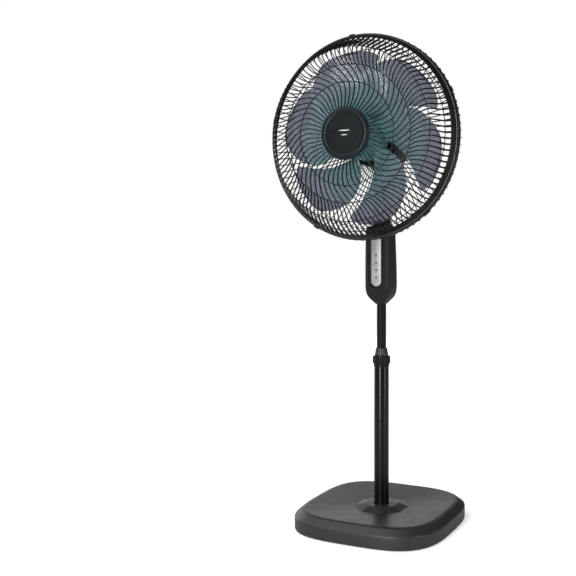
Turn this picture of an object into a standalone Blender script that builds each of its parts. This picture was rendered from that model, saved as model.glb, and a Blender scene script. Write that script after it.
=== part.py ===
"""A height-adjustable pedestal fan, as separate pieces that fit and move.

Metres, +Z up, front towards -Y. The origin is on the floor, under the middle of the whole fan's outline, so the
post stands a little behind it. Heights and reaches below are measured from the axis of the post. The head's
pieces are modelled in a frame of their own, whose +Z runs forward along the fan axis and whose +Y is up.
"""

import math

import bmesh
import bpy

# ---------------------------------------------------------------- clearances
GAP = 0.0003  # between two faces that touch
RUNNING = 0.0005  # round a piece that turns or slides inside another

# ---------------------------------------------------------------- base
BASE_WIDTH = 0.3625
BASE_SQUARENESS = 3.4  # 2 is a circle, higher is squarer
BASE_WALL = 0.0025
FOOT_HEIGHT = 0.004
FOOT_RADIUS = 0.009
FOOT_SPREAD = 0.045  # each side carries two feet, this far either side of its middle
FOOT_INSET = 0.026  # from the side of the base to the middle of a foot
BASE_SIDE_TOP = 0.0312
BASE_TOP_EDGE = 0.0440
BASE_CHAMFER_RUN = 0.0153
BASE_LIP_INSET = 0.0230
BASE_LIP_RISE = 0.0016  # the lip stands this much above the chamfer's top edge
BASE_DISH = 0.0080  # the top falls this much from the lip to the boss
BOSS_FOOT_WIDTH = 0.119
BOSS_TOP_WIDTH = 0.074
BOSS_HEIGHT = 0.008
PLATE_THICKNESS = 0.0015
WEIGHT_TOP = 0.0220

# ---------------------------------------------------------------- post
OUTER_TUBE_RADIUS = 0.0175
OUTER_TUBE_WALL = 0.0015
OUTER_TUBE_TOP = 0.3750
INNER_TUBE_RADIUS = 0.0111
INNER_TUBE_WALL = 0.0013
INNER_TUBE_FOOT = 0.1500
BUSH_LENGTH = 0.030
FLANGE_RADIUS = 0.044
FLANGE_THICKNESS = 0.003
CLAMP_BOLT_RADIUS = 0.004
COLLAR_SKIRT_LENGTH = 0.005
COLLAR_WALL = 0.0007
COLLAR_NECK_RADIUS = INNER_TUBE_RADIUS + 0.0039
COLLAR_CONE_LENGTH = 0.0185
COLLAR_CONE_FOOT_RADIUS = INNER_TUBE_RADIUS + 0.0049
COLLAR_CONE_TOP_RADIUS = INNER_TUBE_RADIUS + 0.0021
LOCK_RING_RADIUS = 0.0212
LOCK_RING_HEIGHT = 0.0170
LOCK_RING_GRIPS = 24

# ---------------------------------------------------------------- control housing
HOUSING_FOOT = 0.5180
HOUSING_TOP = 0.7000
HOUSING_HALF_WIDTH = 0.0300
HOUSING_HALF_DEPTH = 0.0330
HOUSING_WALL = 0.0025
TUBE_GRIP = 0.027  # how far the inner tube reaches into the housing
TRAY_HALF_WIDTH = 0.0187
TRAY_FOOT = 0.5540
TRAY_TOP = 0.6880
TRAY_WALL = 0.0015
TRAY_DEPTH = 0.0068
TRAY_RECESS = 0.0040
STRIP_HALF_WIDTH = 0.0123
STRIP_THICKNESS = 0.0016
BUTTON_RADIUS = 0.0030
BUTTON_TRAVEL = 0.0010
BUTTON_LENGTH = 0.0058
BUTTON_COUNT = 4
LOWEST_BUTTON = 0.5810
BUTTON_PITCH = 0.0170
WINDOW_HEIGHT = 0.6730
BOARD_THICKNESS = 0.0016

# ---------------------------------------------------------------- swivel drive
SPINDLE_RADIUS = 0.0100
SPINDLE_FOOT = 0.6700
SPINDLE_REACH = 0.0140  # into the neck
CRANK_CENTRE = 0.0125  # behind the post axis
CRANK_THROW = 0.0080
CRANK_RADIUS = 0.0105
CRANK_THICKNESS = 0.0035
CRANK_PIN_RADIUS = 0.0020
ROCKER_PLAY = 0.0010  # each side of the crank pin in the rocker's slot
ROCKER_THICKNESS = 0.0035
SWIVEL_MOTOR_RADIUS = 0.0145
SWIVEL_MOTOR_HEIGHT = 0.0240

# ---------------------------------------------------------------- neck and tilt
NECK_FOOT_RADIUS = 0.0225
NECK_HALF_WIDTH = 0.0205
TILT_HEIGHT = 0.8000
TONGUE_HALF_WIDTH = 0.0095
TILT_BOLT_RADIUS = 0.0030

# ---------------------------------------------------------------- head
FAN_HEIGHT = 0.8970
RIM_FORWARD = 0.1046  # from the post axis to the plane where the two guards meet
RIM_RADIUS = 0.2305
GUARD_THICKNESS = 0.0030
MOTOR_RADIUS = 0.0580
MOTOR_WALL = 0.0025
MOTOR_FRONT = 0.0478
MOTOR_JOIN = 0.0040
MOTOR_REAR = 0.0980  # behind the post axis
NOSE_RADIUS = 0.0220
NOSE_FRONT = 0.0620
SHAFT_RADIUS = 0.0050
SHAFT_FRONT = 0.1600
SHAFT_REAR = 0.0550
BEARING_RADIUS = 0.0122
BEARING_LENGTH = 0.0130
ROTOR_RADIUS = 0.0290
ROTOR_LENGTH = 0.0320
HUB_RADIUS = 0.0500
HUB_REAR = 0.0720
HUB_SHOULDER = 0.1300
HUB_FRONT = 0.1485
BLADE_COUNT = 6
BLADE_TIP_RADIUS = 0.1950
BLADE_THICKNESS = 0.0020
BLADE_MIDDLE = 0.1080
CAP_RADIUS = 0.0575
CAP_BACK = 0.1898
CAP_FRONT = 0.1968
BADGE_RADIUS = 0.0432
CLIP_COUNT = 5
CLIP_START = 24  # degrees round the rim from the right-hand side to the first clip
CLIP_WIDTH = 0.0120
CLIP_LENGTH = 0.0140
CLIP_THICKNESS = 0.0025

# The head reaches farther forward than the base reaches back, so the post stands half the difference behind
# the origin.
POST_Y = (CAP_FRONT - BASE_WIDTH / 2) / 2

# ---------------------------------------------------------------- steps round a turned piece
FINE_STEPS = 36
MEDIUM_STEPS = 24
SMALL_STEPS = 16
SHARP_ANGLE = math.radians(35)

COLOURS = {
    "base_plastic": ((0.060, 0.060, 0.062), 0.55, 0.0),
    "black_plastic": ((0.020, 0.020, 0.022), 0.45, 0.0),
    "gloss_black": ((0.010, 0.010, 0.011), 0.18, 0.0),
    "black_tube": ((0.008, 0.008, 0.009), 0.22, 0.0),
    "rubber": ((0.015, 0.015, 0.015), 0.85, 0.0),
    "weight": ((0.240, 0.230, 0.220), 0.90, 0.0),
    "steel": ((0.560, 0.570, 0.580), 0.35, 1.0),
    "aqua_plastic": ((0.420, 0.640, 0.680), 0.20, 0.0),
    "silver_panel": ((0.560, 0.560, 0.575), 0.35, 0.4),
    "copper": ((0.720, 0.330, 0.160), 0.40, 1.0),
    "board": ((0.030, 0.180, 0.070), 0.60, 0.0),
    "brass": ((0.700, 0.520, 0.220), 0.35, 1.0),
}


# ---------------------------------------------------------------- tools
def clear_scene():
    """Removes every object of the scene."""
    for obj in list(bpy.data.objects):
        bpy.data.objects.remove(obj, do_unlink=True)


def material(name):
    """Returns the named Principled material, and makes it the first time."""
    found = bpy.data.materials.get(name)
    if found:
        return found
    colour, roughness, metallic = COLOURS[name]
    made = bpy.data.materials.new(name)
    made.use_nodes = True
    shader = made.node_tree.nodes["Principled BSDF"]
    shader.inputs["Base Color"].default_value = (*colour, 1.0)
    shader.inputs["Roughness"].default_value = roughness
    shader.inputs["Metallic"].default_value = metallic
    return made


def pivot(name, location, rotation=(0.0, 0.0, 0.0), parent=None):
    """Adds an empty that pieces are placed from."""
    empty = bpy.data.objects.new(name, None)
    empty.location = location
    empty.rotation_euler = rotation
    empty.parent = parent
    bpy.context.scene.collection.objects.link(empty)
    return empty


def post_axis():
    """The empty at the foot of the post, which every piece is placed from."""
    return bpy.data.objects.get("post_axis") or pivot("post_axis", (0, POST_Y, 0))


def piece(name, bm, finish, parent=None, location=(0.0, 0.0, 0.0), rotation=(0.0, 0.0, 0.0)):
    """Turns a bmesh into a named object with its material and place."""
    bmesh.ops.recalc_face_normals(bm, faces=bm.faces)
    mesh = bpy.data.meshes.new(name)
    bm.to_mesh(mesh)
    bm.free()
    mesh.shade_smooth()
    mesh.set_sharp_from_angle(angle=SHARP_ANGLE)
    mesh.materials.append(material(finish))
    obj = bpy.data.objects.new(name, mesh)
    obj.location = location
    obj.rotation_euler = rotation
    obj.parent = parent or post_axis()
    bpy.context.scene.collection.objects.link(obj)
    return obj


def helper(name, bm, parent=None, location=(0.0, 0.0, 0.0), rotation=(0.0, 0.0, 0.0)):
    """Makes a shape that only cuts or joins another, and is no piece itself."""
    obj = piece(name, bm, "black_plastic", parent, location, rotation)
    obj.hide_render = True
    obj.display_type = "WIRE"
    return obj


def combine(obj, other, operation):
    """Adds an exact Boolean of the other shape to the object."""
    modifier = obj.modifiers.new(other.name, "BOOLEAN")
    modifier.operation = operation
    modifier.solver = "EXACT"
    modifier.object = other


def turned(profile, steps=MEDIUM_STEPS):
    """Spins an outline of (radius, height) points about Z.

    An outline that starts and ends on the axis closes there. Any other outline is a closed loop.
    """
    bm = bmesh.new()
    points = [bm.verts.new((radius, 0.0, height)) for radius, height in profile]
    edges = [bm.edges.new(pair) for pair in zip(points, points[1:])]
    if profile[0][0] > 0.0:
        edges.append(bm.edges.new((points[-1], points[0])))
    bmesh.ops.spin(bm, geom=points + edges, cent=(0, 0, 0), axis=(0, 0, 1), angle=2 * math.pi, steps=steps)
    bmesh.ops.remove_doubles(bm, verts=bm.verts, dist=1e-6)
    return bm


def tube(outer, inner, low, high, steps=MEDIUM_STEPS):
    """A plain ring or tube between two heights."""
    return turned([(outer, low), (outer, high), (inner, high), (inner, low)], steps)


def hex_nut(half_width, bore, low, high, count=24):
    """A six-sided nut with a round hole."""
    rings = [
        polygon_ring(6, half_width, low, count),
        polygon_ring(6, half_width, high, count),
        rounded_ring(bore, bore, 2, high, count),
        rounded_ring(bore, bore, 2, low, count),
    ]
    return lofted(rings, endless=True)


def disc(radius, low, high, steps=SMALL_STEPS):
    """A plain round rod or disc between two heights."""
    return turned([(0.0, low), (radius, low), (radius, high), (0.0, high)], steps)


def rounded_radius(angle, half_x, half_y, squareness):
    """The distance from the middle to the edge of a rounded rectangle, in one direction."""
    along_x = abs(math.cos(angle)) / half_x
    along_y = abs(math.sin(angle)) / half_y
    return (along_x**squareness + along_y**squareness) ** (-1.0 / squareness)


def rounded_ring(half_x, half_y, squareness, height, count):
    """The points of a rounded rectangle at one height."""
    points = []
    for index in range(count):
        angle = 2 * math.pi * index / count
        radius = rounded_radius(angle, half_x, half_y, squareness)
        points.append((radius * math.cos(angle), radius * math.sin(angle), height))
    return points


def polygon_ring(sides, half_width, height, count):
    """The points of a regular polygon at one height, with a flat square to X."""
    turn = 2 * math.pi / sides
    points = []
    for index in range(count):
        angle = 2 * math.pi * index / count
        from_flat = (angle + turn / 2) % turn - turn / 2
        radius = half_width / math.cos(from_flat)
        points.append((radius * math.cos(angle), radius * math.sin(angle), height))
    return points


def lofted(rings, endless=False):
    """Skins a row of rings of equally many points. An endless row joins its last ring to its first."""
    bm = bmesh.new()
    rows = [[bm.verts.new(point) for point in ring] for ring in rings]
    count = len(rows[0])
    pairs = list(zip(rows, rows[1:]))
    if endless:
        pairs.append((rows[-1], rows[0]))
    else:
        bm.faces.new(rows[0][::-1])
        bm.faces.new(rows[-1])
    for low, high in pairs:
        for index in range(count):
            after = (index + 1) % count
            bm.faces.new((low[index], low[after], high[after], high[index]))
    return bm


def block(low, high):
    """A box between two corners."""
    bm = bmesh.new()
    bmesh.ops.create_cube(bm, size=1.0)
    size = [b - a for a, b in zip(low, high)]
    middle = [(a + b) / 2 for a, b in zip(low, high)]
    bmesh.ops.scale(bm, vec=size, verts=bm.verts)
    bmesh.ops.translate(bm, vec=middle, verts=bm.verts)
    return bm


def slot_outline(half_width, low, high, count=8):
    """The (x, z) outline of an upright slot with round ends."""
    points = []
    for index in range(count + 1):
        angle = math.pi * index / count
        points.append((half_width * math.cos(angle), high - half_width + half_width * math.sin(angle)))
    for index in range(count + 1):
        angle = math.pi + math.pi * index / count
        points.append((half_width * math.cos(angle), low + half_width + half_width * math.sin(angle)))
    return points


def slot_block(half_width, low, high, front, back):
    """An upright slot shape between two Y planes."""
    outline = slot_outline(half_width, low, high)
    return lofted([[(x, front, z) for x, z in outline], [(x, back, z) for x, z in outline]])


def profile_normals(stations):
    """The unit normal (radial, forward) of a guard's profile at each station. The last one, at the rim, is radial."""
    normals = []
    for index in range(len(stations) - 1):
        before = stations[max(index - 1, 0)]
        after = stations[index + 1]
        run = after[0] - before[0]
        rise = after[1] - before[1]
        length = math.hypot(run, rise)
        normals.append((-rise / length, run / length))
    last = 1.0 if normals[-1][0] > 0 else -1.0
    normals.append((last, 0.0))
    return normals


def lattice(stations, ribs, rib_width, thickness):
    """A guard of curved ribs and rings, as one closed skin.

    Each station is (radius, forward, twist in degrees, True where a ring runs from here to the next station).
    Even columns are ribs and odd columns are the openings between them.
    """
    bm = bmesh.new()
    columns = 2 * ribs
    layers = []
    for side in (-0.5, 0.5):
        rows = []
        for station, normal in zip(stations, profile_normals(stations)):
            radius = station[0] + side * thickness * normal[0]
            forward = station[1] + side * thickness * normal[1]
            half = rib_width / 2 / station[0]
            row = []
            for column in range(columns):
                middle = 2 * math.pi * (column // 2) / ribs + math.radians(station[2])
                angle = middle + (half if column % 2 else -half)
                row.append(bm.verts.new((radius * math.cos(angle), radius * math.sin(angle), forward)))
            rows.append(row)
        layers.append(rows)
    back, front = layers

    def filled(row, column):
        if not 0 <= row < len(stations) - 1:
            return False
        return column % 2 == 0 or stations[row][3]

    for row in range(len(stations) - 1):
        for column in range(columns):
            if not filled(row, column):
                continue
            after = (column + 1) % columns
            low = (row, column), (row, after)
            high = (row + 1, after), (row + 1, column)
            for layer in (back, front):
                bm.faces.new([layer[i][j] for i, j in low + high])
            sides = [
                (filled(row - 1, column), low),
                (filled(row + 1, column), high),
                (filled(row, column - 1), (high[1], low[0])),
                (filled(row, column + 1), (low[1], high[0])),
            ]
            for joined, (one, two) in sides:
                if not joined:
                    corners = [back[one[0]][one[1]], back[two[0]][two[1]]]
                    corners += [front[two[0]][two[1]], front[one[0]][one[1]]]
                    bm.faces.new(corners)
    return bm


# ---------------------------------------------------------------- base
def add_base():
    half = BASE_WIDTH / 2
    lip_z = BASE_TOP_EDGE + BASE_LIP_RISE
    dish_z = lip_z - BASE_DISH / 2
    boss_foot_z = lip_z - BASE_DISH
    boss_top_z = boss_foot_z + BOSS_HEIGHT
    hole = OUTER_TUBE_RADIUS + GAP
    count = 48

    def edge(inset, height):
        return rounded_ring(half - inset, half - inset, BASE_SQUARENESS, height, count)

    def hole_ring(height):
        return rounded_ring(hole, hole, 2, height, count)

    wall = BASE_WALL
    dish_inset = (BASE_LIP_INSET + half - BOSS_FOOT_WIDTH / 2) / 2
    cover = [
        edge(0, FOOT_HEIGHT),
        edge(0, BASE_SIDE_TOP),
        edge(BASE_CHAMFER_RUN, BASE_TOP_EDGE),
        edge(BASE_LIP_INSET, lip_z),
        edge(dish_inset, dish_z),
        polygon_ring(8, BOSS_FOOT_WIDTH / 2, boss_foot_z, count),
        polygon_ring(8, BOSS_TOP_WIDTH / 2, boss_top_z, count),
        hole_ring(boss_top_z),
        hole_ring(boss_top_z - wall),
        polygon_ring(8, BOSS_TOP_WIDTH / 2 - wall, boss_top_z - wall, count),
        polygon_ring(8, BOSS_FOOT_WIDTH / 2 - wall, boss_foot_z - wall, count),
        edge(dish_inset, dish_z - wall),
        edge(BASE_LIP_INSET, lip_z - wall),
        edge(BASE_CHAMFER_RUN + wall / 2, BASE_TOP_EDGE - wall),
        edge(wall, BASE_SIDE_TOP - wall / 2),
        edge(wall, FOOT_HEIGHT),
    ]
    piece("base_cover", lofted(cover, endless=True), "base_plastic")

    inner = wall + RUNNING
    plate_top = FOOT_HEIGHT + PLATE_THICKNESS
    bolt_hole = CLAMP_BOLT_RADIUS + GAP
    head_room = 0.0130
    head_top = plate_top + 0.0070

    def round_ring(radius, height):
        return rounded_ring(radius, radius, 2, height, count)

    plate = [
        edge(inner, FOOT_HEIGHT),
        edge(inner, plate_top),
        round_ring(head_room, plate_top),
        round_ring(head_room, FOOT_HEIGHT),
    ]
    piece("base_plate", lofted(plate, endless=True), "black_plastic")

    weight_foot = plate_top + GAP
    weight_inset = inner + 0.002
    weight_top_inset = BASE_CHAMFER_RUN
    weight = [
        edge(weight_inset, weight_foot),
        edge(weight_inset, WEIGHT_TOP - 0.006),
        edge(weight_top_inset, WEIGHT_TOP),
        round_ring(bolt_hole, WEIGHT_TOP),
        round_ring(bolt_hole, head_top),
        round_ring(head_room, head_top),
        round_ring(head_room, weight_foot),
    ]
    piece("base_weight", lofted(weight, endless=True), "weight")

    foot_reach = half - FOOT_INSET
    spots = []
    for side in (-1, 1):
        for along in (-FOOT_SPREAD, FOOT_SPREAD):
            spots.append((along, side * foot_reach))
            spots.append((side * foot_reach, along))
    top = FOOT_HEIGHT - GAP
    for number, (x, y) in enumerate(spots, start=1):
        outline = [(0, 0), (FOOT_RADIUS - 0.001, 0), (FOOT_RADIUS, top), (0, top)]
        piece(f"rubber_foot_{number}", turned(outline, SMALL_STEPS), "rubber", None, (x, y, 0))


# ---------------------------------------------------------------- post
def flange_top():
    """The height of the top of the flange that the outer tube stands on."""
    return WEIGHT_TOP + GAP + FLANGE_THICKNESS


def add_post():
    outer = OUTER_TUBE_RADIUS
    bore = outer - OUTER_TUBE_WALL
    bolt = CLAMP_BOLT_RADIUS
    flange_low = WEIGHT_TOP + GAP
    piece("post_flange", tube(FLANGE_RADIUS, bolt + GAP, flange_low, flange_top()), "steel")
    tube_foot = flange_top() + GAP
    piece("outer_tube", tube(outer, bore, tube_foot, OUTER_TUBE_TOP, FINE_STEPS), "black_tube")

    head_low = FOOT_HEIGHT + PLATE_THICKNESS + 0.0008
    head_high = FOOT_HEIGHT + PLATE_THICKNESS + 0.0070 - GAP
    bolt_top = flange_top() + 0.0095
    outline = [(0, head_low), (0.009, head_low), (0.009, head_high), (bolt, head_high), (bolt, bolt_top), (0, bolt_top)]
    piece("clamp_bolt", turned(outline, SMALL_STEPS), "steel")
    nut_low = flange_top() + GAP
    piece("clamp_nut", hex_nut(0.0070, bolt + GAP, nut_low, nut_low + 0.0065), "steel")

    inner = INNER_TUBE_RADIUS
    tube_top = HOUSING_FOOT + TUBE_GRIP
    piece("inner_tube", tube(inner, inner - INNER_TUBE_WALL, INNER_TUBE_FOOT, tube_top), "black_tube")
    bush_low = INNER_TUBE_FOOT + 0.002
    bush = tube(bore - GAP, inner + GAP, bush_low, bush_low + BUSH_LENGTH)
    piece("tube_bush", bush, "black_plastic")


def add_collar():
    skirt_bore = OUTER_TUBE_RADIUS + GAP
    skirt = skirt_bore + COLLAR_WALL
    bore = INNER_TUBE_RADIUS + GAP
    shelf = OUTER_TUBE_TOP + GAP
    ring_low = shelf + 0.0022
    ring_high = ring_low + LOCK_RING_HEIGHT
    cone_low = ring_high + RUNNING
    cone_top = cone_low + COLLAR_CONE_LENGTH
    outline = [
        (skirt_bore, OUTER_TUBE_TOP - COLLAR_SKIRT_LENGTH),
        (skirt, OUTER_TUBE_TOP - COLLAR_SKIRT_LENGTH),
        (skirt, ring_low - RUNNING),
        (COLLAR_NECK_RADIUS, ring_low - RUNNING),
        (COLLAR_NECK_RADIUS, cone_low),
        (COLLAR_CONE_FOOT_RADIUS, cone_low),
        (COLLAR_CONE_TOP_RADIUS, cone_top - 0.0015),
        (COLLAR_CONE_TOP_RADIUS - 0.0006, cone_top),
        (bore, cone_top),
        (bore, shelf),
        (skirt_bore, shelf),
    ]
    piece("collar_body", turned(outline), "gloss_black")

    points = 2 * LOCK_RING_GRIPS
    root = LOCK_RING_RADIUS - 0.0006

    def grip_ring(inset, height):
        ring = []
        for index in range(points):
            angle = 2 * math.pi * index / points
            radius = (LOCK_RING_RADIUS if index % 2 else root) - inset
            ring.append((radius * math.cos(angle), radius * math.sin(angle), height))
        return ring

    bore = COLLAR_NECK_RADIUS + RUNNING
    rings = [
        grip_ring(0.001, ring_low),
        grip_ring(0, ring_low + 0.0015),
        grip_ring(0, ring_high - 0.0015),
        grip_ring(0.001, ring_high),
        rounded_ring(bore, bore, 2, ring_high, points),
        rounded_ring(bore, bore, 2, ring_low, points),
    ]
    piece("lock_ring", lofted(rings, endless=True), "black_plastic")


# ---------------------------------------------------------------- control housing
def housing_rings(offset, bore_low, bore_high, count):
    """The rings of the housing's skin, from its lower opening to its upper one, drawn in by an offset."""
    height = HOUSING_TOP - HOUSING_FOOT
    # height from the foot as a share of the whole, width and depth as a share of the widest, squareness
    shape = [
        (0.000, 0.47, 2.2),
        (0.022, 0.68, 2.6),
        (0.062, 0.86, 3.2),
        (0.125, 0.965, 4.0),
        (0.220, 1.000, 4.8),
        (0.620, 0.990, 4.8),
        (0.900, 0.950, 4.4),
        (0.972, 0.905, 3.8),
        (1.000, 0.800, 2.6),
    ]
    least = bore_low + HOUSING_WALL + GAP / 2
    rings = []
    low = HOUSING_FOOT + offset
    high = HOUSING_TOP - offset
    rings.append(rounded_ring(bore_low, bore_low, 2, low, count))
    for share, size, squareness in shape:
        z = min(max(HOUSING_FOOT + share * height, low), high)
        half_x = max(HOUSING_HALF_WIDTH * size, least) - offset
        half_y = max(HOUSING_HALF_DEPTH * size, least) - offset
        rings.append(rounded_ring(half_x, half_y, squareness, z, count))
    rings.append(rounded_ring(bore_high, bore_high, 2, high, count))
    return rings


def housing_shell(count=32):
    """The whole hollow housing, open below for the tube and above for the spindle."""
    bore_low = INNER_TUBE_RADIUS + GAP
    bore_high = SPINDLE_RADIUS + RUNNING
    outside = housing_rings(0.0, bore_low, bore_high, count)
    inside = housing_rings(HOUSING_WALL, bore_low, bore_high, count)
    return lofted(outside + inside[::-1], endless=True)


def panel_front():
    """The Y of the front of the tray's rim, level with the housing's front."""
    return -HOUSING_HALF_DEPTH + 0.0003


def strip_front():
    """The Y of the front of the panel strip."""
    return panel_front() + TRAY_RECESS - GAP - STRIP_THICKNESS


def button_heights():
    """The height of each button above the floor."""
    return [LOWEST_BUTTON + BUTTON_PITCH * index for index in range(BUTTON_COUNT)]


def add_housing():
    reach = 2 * HOUSING_HALF_DEPTH
    low = HOUSING_FOOT - 0.01
    high = HOUSING_TOP + 0.01
    front_room = helper("front_half_space", block((-reach, -reach, low), (reach, -GAP / 2, high)))
    rear_room = helper("rear_half_space", block((-reach, GAP / 2, low), (reach, reach, high)))
    front = piece("housing_front", housing_shell(), "black_plastic")
    rear = piece("housing_rear", housing_shell(), "black_plastic")
    combine(front, front_room, "INTERSECT")
    combine(rear, rear_room, "INTERSECT")

    tray_cut = slot_block(TRAY_HALF_WIDTH, TRAY_FOOT, TRAY_TOP, -reach, -HOUSING_HALF_DEPTH / 2)
    combine(front, helper("tray_cut", tray_cut), "DIFFERENCE")

    grommet_radius = 0.0050
    grommet_height = HOUSING_FOOT + 0.040
    lying = (math.radians(-90), 0, 0)
    wall_y = HOUSING_HALF_DEPTH
    grommet_cut = helper("grommet_cut", disc(grommet_radius, -0.010, 0.010), None, (0, wall_y, grommet_height), lying)
    combine(rear, grommet_cut, "DIFFERENCE")
    seat = grommet_radius - GAP
    outline = [(seat, -0.0055), (seat, 0.0002), (0.0068, 0.0012), (0.0055, 0.0070), (0.0030, 0.0070), (0.0030, -0.0055)]
    piece("cord_grommet", turned(outline, SMALL_STEPS), "rubber", None, (0, wall_y, grommet_height), lying)

    for number, height in enumerate((HOUSING_FOOT + 0.058, HOUSING_TOP - 0.072), start=1):
        place = (0, wall_y, height)
        cut = helper(f"screw_cut_{number}", disc(0.0020 + GAP, -0.010, 0.010), None, place, lying)
        combine(rear, cut, "DIFFERENCE")
        outline = [(0, -0.0100), (0.0020, -0.0100), (0.0020, 0.0003), (0.0038, 0.0003), (0.0030, 0.0020), (0, 0.0020)]
        piece(f"housing_screw_{number}", turned(outline, SMALL_STEPS), "steel", None, place, lying)


def add_panel():
    front = panel_front()
    half = TRAY_HALF_WIDTH - GAP
    tray_back = front + TRAY_DEPTH
    floor = front + TRAY_RECESS
    tray = piece(
        "panel_tray", slot_block(half, TRAY_FOOT + GAP, TRAY_TOP - GAP, front, tray_back), "gloss_black"
    )
    rim = TRAY_WALL
    recess = slot_block(half - rim, TRAY_FOOT + GAP + rim, TRAY_TOP - GAP - rim, front - 0.005, floor)
    combine(tray, helper("tray_recess", recess), "DIFFERENCE")

    ends = half - STRIP_HALF_WIDTH
    strip_low = TRAY_FOOT + ends
    strip_high = TRAY_TOP - ends
    strip_back = floor - GAP
    strip = piece(
        "panel_strip",
        slot_block(STRIP_HALF_WIDTH, strip_low, strip_high, strip_front(), strip_back),
        "silver_panel",
    )

    hole = BUTTON_RADIUS + GAP
    facing = (math.radians(90), 0, 0)
    for number, height in enumerate(button_heights(), start=1):
        place = (0, strip_front(), height)
        cut = helper(f"button_cut_{number}", disc(hole, -0.02, 0.02, 12), None, place, facing)
        combine(strip, cut, "DIFFERENCE")
        combine(tray, cut, "DIFFERENCE")
        proud = BUTTON_TRAVEL
        outline = [
            (0, proud - BUTTON_LENGTH),
            (BUTTON_RADIUS, proud - BUTTON_LENGTH),
            (BUTTON_RADIUS, proud - 0.0004),
            (BUTTON_RADIUS - 0.0004, proud),
            (0, proud),
        ]
        piece(f"button_{number}", turned(outline, 12), "gloss_black", None, place, facing)

    place = (0, strip_front(), WINDOW_HEIGHT)
    window_cut = helper("window_cut", disc(hole, -0.01, 0.01, 12), None, place, facing)
    combine(strip, window_cut, "DIFFERENCE")
    window = disc(BUTTON_RADIUS, -STRIP_THICKNESS, 0.0002, 12)
    piece("sensor_window", window, "gloss_black", None, place, facing)

    board_front = strip_front() - BUTTON_TRAVEL + BUTTON_LENGTH + BUTTON_TRAVEL + 0.0004
    board = block(
        (-0.0150, board_front, LOWEST_BUTTON - 0.010), (0.0150, board_front + BOARD_THICKNESS, TRAY_TOP - 0.020)
    )
    piece("control_board", board, "board")


# ---------------------------------------------------------------- swivel drive
def add_swivel_drive():
    rocker_low = SPINDLE_FOOT
    crank_high = rocker_low - 2 * RUNNING - 0.001
    crank_low = crank_high - CRANK_THICKNESS
    motor_high = crank_low - RUNNING
    centre = (0, CRANK_CENTRE, 0)
    motor = disc(SWIVEL_MOTOR_RADIUS, motor_high - SWIVEL_MOTOR_HEIGHT, motor_high, MEDIUM_STEPS)
    piece("swivel_motor", motor, "steel", None, centre)

    crank = piece("swivel_crank", disc(CRANK_RADIUS, crank_low, crank_high, 20), "brass", None, centre)
    pin_top = rocker_low + ROCKER_THICKNESS
    pin_place = (0, CRANK_CENTRE + CRANK_THROW, 0)
    pin = helper("crank_pin", disc(CRANK_PIN_RADIUS, crank_high - 0.001, pin_top, 12), None, pin_place)
    combine(crank, pin, "UNION")

    spindle_top = HOUSING_TOP + RUNNING + SPINDLE_REACH
    spindle = piece("swivel_spindle", disc(SPINDLE_RADIUS, rocker_low, spindle_top, MEDIUM_STEPS), "steel")
    slot_half = CRANK_PIN_RADIUS + ROCKER_PLAY
    farthest = CRANK_CENTRE + CRANK_THROW
    nearest = math.sqrt(CRANK_CENTRE**2 - CRANK_THROW**2)
    arm_half = slot_half + 0.0030
    arm_end = farthest + slot_half + 0.0030
    rocker_high = rocker_low + ROCKER_THICKNESS
    arm = helper("rocker_arm", block((-arm_half, 0, rocker_low), (arm_half, arm_end, rocker_high)))
    combine(spindle, arm, "UNION")
    slot_low = rocker_low - 0.001
    slot_high = rocker_high + RUNNING
    slot = helper(
        "rocker_slot",
        block((-slot_half, nearest - slot_half, slot_low), (slot_half, farthest + slot_half, slot_high)),
    )
    combine(spindle, slot, "DIFFERENCE")
    clip_high = HOUSING_TOP - HOUSING_WALL - RUNNING
    clip = tube(SPINDLE_RADIUS + 0.004, SPINDLE_RADIUS + GAP, clip_high - 0.0015, clip_high)
    piece("spindle_clip", clip, "steel")


# ---------------------------------------------------------------- neck and tilt
def add_neck():
    foot = HOUSING_TOP + RUNNING
    ear_reach = 0.0125
    half = NECK_HALF_WIDTH
    count = 32
    rings = [
        rounded_ring(NECK_FOOT_RADIUS, NECK_FOOT_RADIUS, 2, foot, count),
        rounded_ring(NECK_FOOT_RADIUS, NECK_FOOT_RADIUS, 2, foot + 0.008, count),
        rounded_ring(half - 0.001, half, 2.4, foot + 0.030, count),
        rounded_ring(half, half - 0.001, 3.4, TILT_HEIGHT - 0.030, count),
        rounded_ring(half, half - 0.0015, 4.0, TILT_HEIGHT - 0.010, count),
        rounded_ring(half, half - 0.0040, 4.0, TILT_HEIGHT + 0.003, count),
        rounded_ring(half, half - 0.0105, 4.0, TILT_HEIGHT + ear_reach, count),
    ]
    neck = piece("swivel_neck", lofted(rings), "black_plastic")
    socket = disc(SPINDLE_RADIUS + GAP, foot - 0.01, foot + SPINDLE_REACH + GAP, MEDIUM_STEPS)
    combine(neck, helper("neck_socket", socket), "DIFFERENCE")
    slot_half = TONGUE_HALF_WIDTH + GAP
    fork = block((-slot_half, -0.05, TILT_HEIGHT - 0.0180), (slot_half, 0.05, TILT_HEIGHT + 0.05))
    combine(neck, helper("neck_fork", fork), "DIFFERENCE")

    across = (0, math.radians(90), 0)
    place = (0, 0, TILT_HEIGHT)
    bolt_cut = helper("tilt_bolt_cut", disc(TILT_BOLT_RADIUS + GAP, -0.03, 0.03), None, place, across)
    combine(neck, bolt_cut, "DIFFERENCE")
    head_in = half + GAP
    tip = half + 0.0060
    outline = [
        (0, -head_in - 0.0040),
        (0.0062, -head_in - 0.0040),
        (0.0070, -head_in),
        (TILT_BOLT_RADIUS, -head_in),
        (TILT_BOLT_RADIUS, tip),
        (0, tip),
    ]
    piece("tilt_bolt", turned(outline, SMALL_STEPS), "steel", None, place, across)
    nut = hex_nut(0.0055, TILT_BOLT_RADIUS + GAP, head_in, head_in + 0.0048)
    piece("tilt_nut", nut, "steel", None, place, across)
    return bolt_cut


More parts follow.
